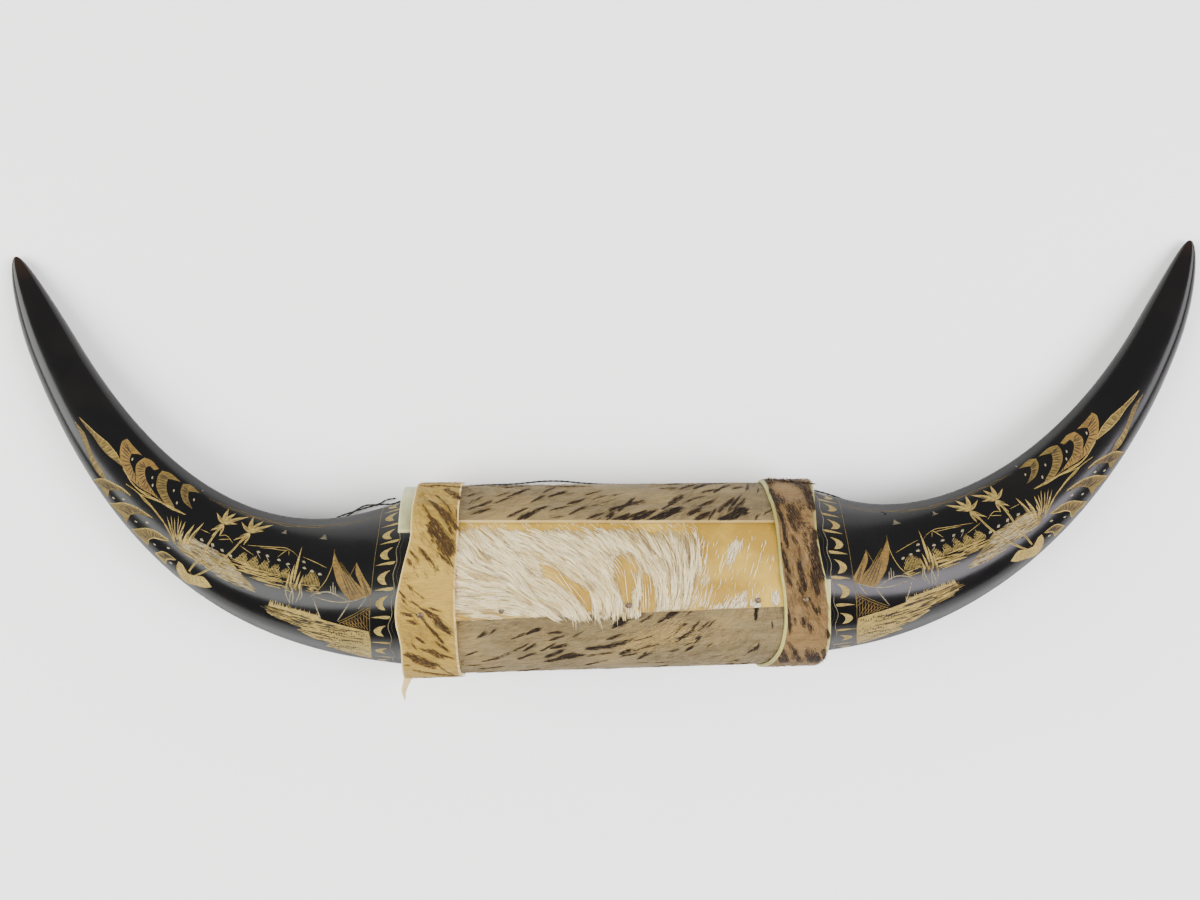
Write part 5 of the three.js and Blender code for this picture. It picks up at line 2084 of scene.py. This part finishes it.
    def under_hair(self) -> Object:
        """Make the short, dull hair close to the skin."""
        random = np.random.default_rng(40)
        hairs = Hairs("panel_under_hair", PANEL_LAYER, 2, sag=1.2)
        x, angle = self._places(random, self.under_hairs)
        count = len(x)
        jitter = random.normal(0, 8.0, count)
        shade = random.choice(4, count, p=[0.42, 0.36, 0.14, 0.08])
        hairs.plant(x, angle, lambda a, b: self.lie(a, b) + jitter, random.uniform(4, 9, count),
                    random.uniform(0.08, 0.15, count), 0.0, random.uniform(0.05, 0.4, count),
                    random.uniform(0.0, 0.3, count), shade,
                    self._stop(np.full(count, -0.3), random.uniform(0, 1, count) < 0.9))
        for corners, number, way, length in self.patches:
            low, high = np.min(corners, axis=0), np.max(corners, axis=0)
            x, angle = (random.uniform(low[k], high[k], 4 * number) for k in (0, 1))
            inside = within(corners, x, angle)
            x, angle = x[inside][:number], angle[inside][:number]
            lie = way + random.normal(0, 9, len(x))
            hairs.plant(x, angle, lambda *_, lie=lie: lie, length * random.uniform(0.6, 1.3, len(x)),
                        random.uniform(0.09, 0.14, len(x)), 0.08, random.uniform(0.2, 0.6, len(x)),
                        random.uniform(0.1, 0.5, len(x)), np.full(len(x), 4),
                        self._stop(np.full(len(x), -0.3), np.zeros(len(x), dtype=bool)))
        shades = {"under_cream": (0.6, 0.48, 0.25), "under_straw": (0.48, 0.335, 0.12),
                  "under_grey": (0.4, 0.33, 0.19), "under_dun": (0.26, 0.17, 0.065),
                  "short_white": (0.78, 0.7, 0.5)}
        return stand_in_for(hairs.build(dye(shades)), Slot.FUR)

    def long_hair(self) -> Object:
        """Make the long white hair in pointed locks."""
        random = np.random.default_rng(41)
        hairs = Hairs("panel_long_hair", PANEL_LAYER, 4, sag=1.2)
        x, angle = self._places(random, self.locks)
        locks = len(x)
        lean, size = random.normal(0, 4.5, locks), random.uniform(8, 19, locks)
        arch, over = random.uniform(0.2, 1.3, locks), random.uniform(-0.3, 6.5, locks)
        # A lock's tone. The dun locks are partly real darker hair and partly painted shade: dark hair that
        # stands for the shadow in the gaps between locks.
        tone = random.choice(4, locks, p=[0.46, 0.34, 0.14, 0.06])
        which = np.repeat(np.arange(locks), self.hairs_in_lock)
        count = len(which)
        side = random.normal(0, 0.75, count)
        way = np.radians(self.lie(x, angle) + lean)[which]
        back = random.uniform(-1.8, 1.8, count)
        roots_x = x[which] + back * np.cos(way) + side * np.sin(way)
        roots_angle = angle[which] - ROLL.degrees(back * np.sin(way) - side * np.cos(way))
        length = size[which] * random.uniform(0.75, 1.1, count)
        # A hair beside its lock's middle leans towards it, so that the lock comes to a point.
        turn = lean[which] + np.degrees(np.arctan2(side, length)) * 0.8 + random.normal(0, 1.6, count)
        strict = random.uniform(0, 1, count) < 0.93
        hairs.plant(roots_x, roots_angle, lambda a, b: self.lie(a, b) + turn, length,
                    random.uniform(0.07, 0.14, count), 0.1, arch[which] * random.uniform(0.6, 1.1, count),
                    random.uniform(0.0, 0.5, count), np.where(random.uniform(0, 1, count) < 0.8,
                                                             tone[which], random.integers(0, 4, count)),
                    self._stop(over[which], strict))
        self._long_singles(hairs, random)
        # The dun tone is partly real darker hair and partly painted shade for the gaps between locks.
        shades = {"hair_white": (0.85, 0.745, 0.475), "hair_cream": (0.8, 0.67, 0.37),
                  "hair_straw": (0.6, 0.45, 0.19), "hair_dun": (0.3, 0.21, 0.095)}
        return stand_in_for(hairs.build(dye(shades)), Slot.FUR)

    @staticmethod
    def _long_singles(hairs: Hairs, random: Random) -> None:
        """Grow the few long hairs that hang past the lower edge or lie over the bare skin.

        Args:
            hairs: What they are added to.
            random: The hair's own draws.
        """
        for x, angle, way, length, count in (
            (-27, -10, 62, 13, 6), (-21, -10, 84, 16, 5), (-9, -11, 88, 15, 5), (2, -10, 92, 13, 5),
            (9, 8, 78, 20, 3), (17, 0, 84, 14, 4), (24, -6, 92, 9, 5), (-30, 5, 55, 14, 4),
            (48, 22, 100, 12, 3), (58, 14, 108, 10, 3), (74, 12, 104, 8, 3),
        ):
            lie = way + random.normal(0, 5, count)
            hairs.plant(x + random.normal(0, 1.5, count), angle + random.normal(0, 2, count),
                        lambda *_, lie=lie: lie, length * random.uniform(0.8, 1.15, count),
                        random.uniform(0.09, 0.13, count), 0.2, random.uniform(0.4, 1.2, count),
                        random.uniform(0.2, 0.6, count), np.zeros(count, dtype=int))

    def build(self) -> None:
        """Make the hide and its hair."""
        self.hide()
        self.under_hair()
        self.long_hair()


@dataclass
class Collar:
    """A hide collar over the joint between the roll and a horn."""

    name: str
    side: int
    outer: tuple  # (angle, x) round the roll
    inner: tuple
    skin: HideSkin
    edge: BareSkin
    slot: Slot
    lie: tuple  # angles, and the coat's degrees below the roll's length at them
    flecks: tuple
    shades: dict
    cut: float
    length: tuple = (2.4, 4.8)
    extra: tuple = ()
    pale_hairs: int = 3400
    scattered: int = 26
    middle: float = 95.0  # the collar's own middle along the roll
    seed: int = 21

    @staticmethod
    def _round(pairs: tuple) -> EdgeLine:
        """Return a smooth closed curve round the roll.

        Args:
            pairs: The angles and the places that it runs by.

        Returns:
            The place along the roll as a function of the angle.
        """
        fine = np.linspace(-180, 180, 721)
        angles = np.array([pair[0] for pair in pairs] + [180.0])
        places = np.array([pair[1] for pair in pairs] + [pairs[0][1]])
        raw = np.interp(fine, angles, places)
        kernel = np.exp(-0.5 * (np.arange(-16, 17) / 6.0) ** 2)
        padded = np.concatenate([raw[-17:-1], raw, raw[1:17]])
        soft = np.convolve(padded, kernel / kernel.sum(), "valid")
        return lambda angle: np.interp(from_front(angle), fine, soft)

    def build(self) -> None:
        """Make the collar and its coat."""
        outer, inner = self._round(self.outer), self._round(self.inner)
        left, right = (outer, inner) if self.side < 0 else (inner, outer)
        spec = Hide(
            self.name + "_hide", COLLAR_LAYER, left=left, right=right,
            low=lambda x: -180 + 0 * x, high=lambda x: 180 + 0 * x,
            ring=True, cut=self.cut, step=2.0, waves=0.3, seed=self.seed,
        )
        made = spec.build(self.skin.material(), self.edge.material())
        stand_in_for(made, self.slot, self.name)
        random = np.random.default_rng(self.seed)
        angle = random.uniform(-180, 180, self.pale_hairs)
        x = left(angle) + random.uniform(0.03, 0.97, self.pale_hairs) * (right(angle) - left(angle))
        middle = self.side * self.middle
        coat = Coat(
            self.name + "_coat", COLLAR_LAYER, self.shades,
            lie=lambda _, angle: np.interp(from_front(angle), *self.lie),
            rooted=lambda x, angle: (x > left(angle) + self.cut) & (x < right(angle) - self.cut),
            flecks=self.flecks,
            length=self.length,
            scattered=(self.scattered, middle - 12, middle + 8),
            extra=self.extra,
            seed=self.seed + 50,
        )
        stand_in_for(coat.build(x, angle), self.slot)


def left_collar() -> Collar:
    """Return the golden collar with brown flecks."""
    return Collar(
        "hide_collar_left", -1,
        outer=((-180, -108), (-90, -113.6), (-38, -110.4), (-18, -112.2), (-7, -111.5), (11, -107.7),
               (28, -103.9), (90, -103.3)),
        inner=((-180, -80), (-90, -81.8), (-35, -81), (0, -80.7), (32, -79), (90, -79.4)),
        skin=HideSkin("golden_skin", (0.37, 0.245, 0.046), (0.23, 0.138, 0.022), (0.24, 0.12, 0.022),
                      -50.0, 0.3),
        edge=BareSkin("cream_cut_edge", (0.60, 0.46, 0.20), (0.44, 0.31, 0.11), (0.65, 0.52, 0.28)),
        slot=Slot.TAN,
        lie=((-55, -30, 0, 50), (22, 40, 50, 55)),
        flecks=flecks_from(
            -945, 538, -862, 413, 18, 9, -915, 617, -832, 440, 9, 6, -878, 460, -800, 337, 27, 8,
            -920, 502, -822, 310, 11, 7, -872, 698, -792, 570, 41, 9, -940, 407, -900, 352, 18, 8,
            -928, 360, -828, 188, 74, 8.5, -880, 175, -828, 123, 11, 7, -985, 213, -892, 90, 20, 9,
            -1028, 193, -995, 148, 20, 7, -1052, 150, -1000, 92, 20, 8, -1022, 72, -938, 42, 16, 9,
            -982, 92, -938, 55, 27, 9, -918, 118, -902, 62, 11, 6, -1050, 10, -970, -60, 9, 9,
            -1045, 10, -1032, -8, 18, 9, -1085, -30, -1065, -55, 9, 8, -1072, -65, -1065, -85, 7, 5,
            -1038, -75, -992, -107, 8, 7, -978, -120, -910, -165, 20, 9, -940, -115, -892, -130, 11, 8,
            -910, -165, -888, -180, 14, 7, -910, -187, -845, -268, 30, 10, -980, -170, -888, -340, 11, 9,
            -1075, -143, -1040, -152, 14, 8, -1048, -125, -992, -163, 5, 5, -1048, -190, -1020, -198, 15, 7,
            -1012, -313, -982, -342, 9, 8, -1040, -357, -1025, -382, 7, 6, -915, -348, -865, -403, 11, 8,
            -995, -393, -845, -478, 9, 7, -958, -405, -895, -463, 34, 7, -1075, -432, -935, -553, 41, 9,
            -1082, -432, -1050, -443, 11, 9, -1062, -592, -850, -745, 27, 8, -932, -523, -838, -750, 11, 7,
            -1048, -492, -945, -585, 20, 8, -1102, -533, -1065, -543, 11, 7, -1088, 58, -1065, 52, 11, 5,
            -978, 498, -940, 415, 9, 5, -860, 197, -822, 130, 7, 5, -800, 448, -790, 387, 14, 5,
            -1005, 778, -942, 735, 14, 4, -945, 775, -802, 730, 20, 6,
        ),
        shades={"gold_pale": (0.40, 0.275, 0.062), "gold_mid": (0.28, 0.172, 0.032),
                "gold_grey": (0.27, 0.20, 0.066), "gold_umber": (0.100, 0.053, 0.015),
                "gold_brown": (0.052, 0.027, 0.009), "gold_dark": (0.024, 0.012, 0.005)},
        cut=0.9,
        seed=21,
    )


def right_collar() -> Collar:
    """Return the brown collar with dark upright streaks and a pale thick edge."""
    return Collar(
        "hide_collar_right", 1,
        outer=((-180, 108), (-90, 109), (-70, 110.6), (-54, 112.4), (-36, 112.8), (-19, 111.9),
               (-4, 110.2), (12, 107.4), (32, 105.8), (90, 108.7)),
        inner=((-180, 80), (-90, 76.5), (-63, 83.7), (-48, 86.9), (-28, 88.5), (-12, 87.6), (5, 85.9),
               (28, 85.2), (55, 82.9), (90, 80.3)),
        skin=HideSkin("russet_skin", (0.20, 0.122, 0.044), (0.110, 0.062, 0.020), (0.09, 0.045, 0.015), 80.0,
                      0.3),
        edge=BareSkin("green_cut_edge", (0.36, 0.33, 0.10), (0.22, 0.19, 0.050), (0.42, 0.38, 0.16)),
        slot=Slot.BROWN,
        lie=((-60, 0, 60), (72, 78, 80)),
        flecks=flecks_from(
            845, 790, 900, 495, 47, 9, 918, 785, 992, 435, 61, 9, 978, 782, 1052, 443, 61, 9,
            852, 482, 888, 333, 20, 9, 922, 468, 995, 303, 61, 9, 888, 333, 900, 208, 14, 9,
            985, 332, 1045, 260, 41, 9, 918, 382, 945, 305, 34, 8, 828, 813, 1065, 722, 27, 8,
            995, 275, 1072, 18, 47, 9.5, 1032, 260, 1080, 48, 41, 9.5, 1030, 48, 1045, -65, 30, 9,
            865, 208, 885, 112, 27, 9, 880, 140, 902, 52, 11, 8, 930, 253, 945, 222, 20, 6,
            958, 95, 982, -35, 23, 9, 888, 30, 905, -12, 11, 8, 950, -33, 962, -65, 20, 7,
            1012, -122, 1040, -192, 9, 8, 1052, -152, 1060, -192, 7, 5, 980, -120, 988, -142, 14, 5,
            878, -110, 915, -323, 18, 9, 900, -253, 920, -333, 20, 8, 935, -245, 950, -307, 15, 8,
            972, -247, 1015, -477, 30, 9.5, 1005, -282, 1075, -667, 41, 9.5, 1005, -452, 1040, -662, 27, 9,
            1055, -388, 1065, -455, 8, 6, 1105, -342, 1115, -372, 20, 8, 1090, -495, 1118, -645, 20, 8,
            862, -433, 908, -647, 34, 7, 908, -413, 942, -498, 20, 7, 945, -513, 980, -655, 24, 7,
            855, -550, 888, -645, 27, 6, 965, 198, 965, 123, 5, 4, 840, 652, 865, 482, 27, 8,
        ),
        shades={"russet_pale": (0.23, 0.144, 0.055), "russet_mid": (0.145, 0.081, 0.027),
                "russet_pink": (0.20, 0.130, 0.068), "russet_umber": (0.052, 0.027, 0.010),
                "russet_dark": (0.020, 0.011, 0.005), "russet_soot": (0.008, 0.005, 0.004)},
        cut=1.4,
        length=(3.5, 6.5),
        extra=((85.5, 80.0, 1.4, 2.5, 110, 2, 6, 6.0), (92.0, 80.0, 3.0, 2.0, 60, 2, 6, 6.0),
               (96.0, 66.0, 6.0, 9.0, 900, 3, 6, 1.0)),
        seed=22,
    )


@dataclass
class Trim:
    """Small pieces: linings, the sliver, tacks, nails and the core."""

    strips: tuple = (
        ("lining_strip_left", 34.0, 138.0, -110.6, -97.3),
        ("lining_strip_right", -135.0, -1.0, 97.3, 112.2),
    )
    sliver_sides: int = 8
    sliver: tuple = ((-110.6, -50.4, 41.0, 3.0), (-112.4, -54.0, 39.5, 2.1),
                     (-113.6, -60.0, 36.0, 1.4), (-114.4, -65.5, 32.0, 0.4))
    tacks: tuple = ("tack_1", "tack_2", "tack_3", "tack_4", "tack_5")
    nails: tuple = ("cord_nail_left", "cord_nail_right")

    def linings(self) -> None:
        """Make the rawhide strips under the collars."""
        face = BareSkin("green_rawhide", (0.42, 0.42, 0.22), (0.30, 0.29, 0.14),
                        (0.5, 0.5, 0.3), 0.4).material()
        edge = BareSkin("rawhide_edge", (0.50, 0.48, 0.26), (0.36, 0.33, 0.15),
                        (0.55, 0.53, 0.33), 0.4).material()
        for name, low, high, left, right in self.strips:
            spec = Hide.straight(name + "_rawhide", LINING_LAYER, (left, right), (low, high),
                                 cut=0.7, step=1.6, waves=0.35, seed=15)
            stand_in_for(spec.build(face, edge), Slot.RAWHIDE, name)

    def torn_sliver(self, material: Material) -> None:
        """Make the torn sliver that hangs from the left collar's lower edge.

        Args:
            material: Its finish.
        """
        fine = np.linspace(0, 3, 25)
        path = np.array([[np.interp(v, range(4), [p[k] for p in self.sliver]) for k in range(4)]
                         for v in fine])
        curl = 0.6 * np.sin(fine * 2.2)
        sides = self.sliver_sides
        loops = []
        for (x, y, z, half), bend in zip(path, curl):
            for k in range(sides):
                turn = 2 * np.pi * k / sides
                deep = 0.62 * np.sin(turn)
                loops.append((x + bend + half * np.cos(turn), y + deep, z + deep))
        points = np.array(loops)
        stand_in_for(build_mesh("torn_sliver", points, tube_faces(points, sides), [material]), Slot.TAN)

    def metal(self) -> None:
        """Give the tacks, the nails and the core their finishes."""
        tack = Metal("tack_brown", (0.16, 0.115, 0.075), (0.07, 0.045, 0.03), 0.5).material()
        nail = Metal("nail_grey", (0.50, 0.48, 0.45), (0.25, 0.22, 0.19), 0.4).material()
        wood = Timber().material()
        for names, material in ((self.tacks, tack), (self.nails, nail), (("wood_core",), wood)):
            for name in names:
                for slot in bpy.data.objects[name].material_slots:
                    slot.material = material

    def build(self) -> None:
        """Make all of it."""
        self.linings()
        self.torn_sliver(BareSkin("sliver_skin", (0.55, 0.40, 0.17), (0.40, 0.26, 0.09),
                                  (0.6, 0.48, 0.26)).material())
        self.metal()


@dataclass
class Cord:
    """The black twine behind the roll, nailed to both horns."""

    radius: float = 0.5
    length: float = 0.40
    sides: int = 10
    rings_per_step: int = 26
    twist: float = 3.2  # millimetres in which the two strands turn once
    route: tuple = (
        # round the right nail and down to the surface
        (163, 13.7, 11.5), (165.3, 16, 11.3), (163.4, 18.6, 10.8), (157, 22.5, 8.8),
        (148, 28, 5.2), (138, 34, 2.2), (126, 39.5, 0.8),
        # along the roll
        (112, 43.5, 0.55), (95, 46.2, 0.55), (75, 47.6, 0.55), (50, 48, 0.55), (25, 48.2, 0.55),
        (0, 48.7, 0.55), (-15.5, 49.8, 0.55), (-27.5, 51.1, 0.55), (-39, 51.2, 0.55),
        (-53, 50.1, 0.55), (-80, 49.4, 0.55), (-100, 46.2, 0.55), (-117.3, 41.8, 0.55),
        # up to the left nail and round it
        (-123, 40.2, 0.55), (-130.5, 40, 0.6), (-138, 38.2, 1.2), (-146, 35.9, 2.2),
        (-154, 32.9, 3.8), (-161.4, 27.2, 7), (-165.4, 20.8, 9.8), (-165.5, 16, 11.2),
        (-163.2, 13.6, 11.7), (-160.7, 15.8, 11.4), (-160.9, 20.2, 9.4),
        # back beside itself to a loose end
        (-158, 26.2, 6.4), (-152.6, 31.2, 4.6), (-146.2, 34.8, 3.6), (-138.4, 39.5, 1.7),
        (-130.6, 40.2, 1.9), (-125.6, 42.6, 0.9), (-120.6, 43.4, 0.55),
    )

    def path(self) -> Array:
        """Return the cord's fine middle line."""
        return Engraving.soften(np.array(self.route, dtype=float), self.rings_per_step)

    def build(self) -> None:
        """Make the twine."""
        path = self.path()
        way = unit(np.gradient(path, axis=0))
        side = unit(np.cross(way, (0, 0, 1)), 1e-9)
        above = np.cross(side, way)
        along = travelled(path)
        turn = 2 * np.pi * np.arange(self.sides) / self.sides
        lobes = 0.84 + 0.16 * np.cos(2 * (turn[None] - np.pi * along[:, None] / self.twist))
        reach = self.radius * lobes
        rings = (path[:, None] + side[:, None] * (reach * np.cos(turn))[..., None]
                 + above[:, None] * (reach * np.sin(turn))[..., None])
        points = rings.reshape(-1, 3)
        made = build_mesh("hanging_twine", points, tube_faces(points, self.sides), [Twine().material()])
        self._lay_uv(made.data, along, self.sides)
        stand_in_for(made, Slot.TWINE, "hanging_cord")
        tuple(to_part(self.route[0]))
        2 * self.radius * MM
        [tuple(point) for point in to_part(path)]

    @staticmethod
    def _lay_uv(mesh: bpy.types.Mesh, along: Array, sides: int) -> None:
        """Lay the UV map along the cord, for its fibres.

        Args:
            mesh: The cord's mesh, whose points come ring by ring.
            along: The distance along the cord at each ring.
            sides: How many points a ring has.
        """
        layer = mesh.uv_layers.new(name="OFBake")
        for face in mesh.polygons:
            for loop in face.loop_indices:
                ring, column = divmod(mesh.loops[loop].vertex_index, sides)
                wrap = sides if column == 0 and max(
                    mesh.loops[k].vertex_index % sides for k in face.loop_indices) == sides - 1 else 0
                layer.data[loop].uv = (along[ring] / along[-1], (column + wrap) / sides)


# ---- Studio ----


@dataclass(frozen=True)
class Studio:
    """The camera straight over the part, a pale floor and soft lights."""

    distance: float = 1000.0
    eye: tuple = (-5.07, 68.12)
    turn: float = -1.2
    lens: float = 55.56
    sensor: float = 36.0
    floor_size: float = 8.0
    floor: tuple = (0.93, 0.935, 0.92)
    room_stops: tuple = ((0.0, (0.34, 0.35, 0.34)), (0.4, (0.5, 0.51, 0.5)), (0.6, (0.62, 0.62, 0.61)),
                         (0.85, (0.78, 0.78, 0.77)), (1.0, (0.78, 0.78, 0.77)))
    room_strength: float = 0.88
    # Each soft box: its name, place, aim, width and length, power and colour.
    boxes: tuple = (
        ("left", (-1.5, -0.3, 2.0), (0, 0, 0), (1.1, 1.6), 70.0, (0.98, 1.0, 0.97)),
        ("right", (1.5, -0.3, 2.0), (0, 0, 0), (1.1, 1.6), 100.0, (0.98, 0.93, 1.0)),
        ("left_low", (-2.4, 0.35, 0.95), (-0.2, 0.1, 0), (1.5, 1.2), 74.0, (0.97, 1.0, 0.95)),
        ("right_low", (2.4, 0.35, 0.95), (0.2, 0.1, 0), (1.5, 0.8), 40.0, (0.98, 0.96, 1.0)),
        ("front", (0.0, -1.3, 1.8), (0, 0, 0), (0.7, 0.9), 12.0, (1.0, 1.0, 1.0)),
    )

    def camera(self) -> None:
        """Place the camera."""
        data = bpy.data.cameras.new("camera")
        data.lens = self.lens
        data.sensor_width = self.sensor
        made = put("camera", data)
        made.location = to_part((*self.eye, ROLL.axis_height + self.distance))
        made.rotation_euler = (0.0, 0.0, np.radians(self.turn))
        bpy.context.scene.camera = made

    def stage(self) -> None:
        """Make the floor."""
        bpy.ops.object.select_all(action="DESELECT")
        bpy.ops.mesh.primitive_plane_add(size=self.floor_size, location=(0.0, 0.0, 0.0))
        floor = bpy.context.object
        floor.name = "floor"
        shader = Shader("pale_wall")
        floor.data.materials.append(shader.finish(Base_Color=self.floor, Roughness=0.6))

    @staticmethod
    def light(name: str, place: tuple, aim: tuple, size: tuple, power: float, color: tuple) -> None:
        """Hang one soft box.

        Args:
            name: The light's name.
            place: Its place in metres from the part's middle.
            aim: The point that it looks at.
            size: Its width and length in metres.
            power: Its power in watts.
            color: Its colour.
        """
        data = bpy.data.lights.new(name, "AREA")
        data.shape = "RECTANGLE"
        data.size, data.size_y = size
        data.energy = power
        data.color = color
        made = put(name, data)
        made.location = place
        made.rotation_euler = (Vector(aim) - Vector(place)).to_track_quat("-Z", "Y").to_euler()

    def lights(self) -> None:
        """Hang a high and a low soft box beyond each tip, and one on the lower side."""
        for box in self.boxes:
            self.light(*box)

    def room(self) -> None:
        """Make a room that is dim towards the lower side and brighter towards the upper side."""
        world = bpy.data.worlds.new("room")
        world.use_nodes = True
        nodes, links = world.node_tree.nodes, world.node_tree.links
        place = nodes.new("ShaderNodeTexCoord")
        split = nodes.new("ShaderNodeSeparateXYZ")
        ramp = nodes.new("ShaderNodeValToRGB")
        links.new(place.outputs["Generated"], split.inputs["Vector"])
        share = nodes.new("ShaderNodeMapRange")
        share.inputs["From Min"].default_value = -1.0
        links.new(split.outputs["Y"], share.inputs["Value"])
        links.new(share.outputs["Result"], ramp.inputs["Fac"])
        Shader.set_stops(ramp.color_ramp, self.room_stops)
        background = nodes["Background"]
        background.inputs["Strength"].default_value = self.room_strength
        links.new(ramp.outputs["Color"], background.inputs["Color"])
        bpy.context.scene.world = world

    def build(self) -> None:
        """Set it all up."""
        self.camera()
        self.stage()
        self.lights()
        self.room()


def main() -> None:
    """Build the dressed part, piece by piece."""
    logging.basicConfig(level=logging.INFO, format="%(name)s: %(message)s")
    pieces = (
        ("studio", Studio()),
        ("cord", Cord()),
        ("horns", HornPair()),
        ("wrap", Wrap()),
        ("panel", Panel()),
        ("left collar", left_collar()),
        ("right collar", right_collar()),
        ("trim", Trim()),
    )
    for name, piece in pieces:
        piece.build()
        LOG.info("%s is built", name)


if __name__ == "__main__":
    main()
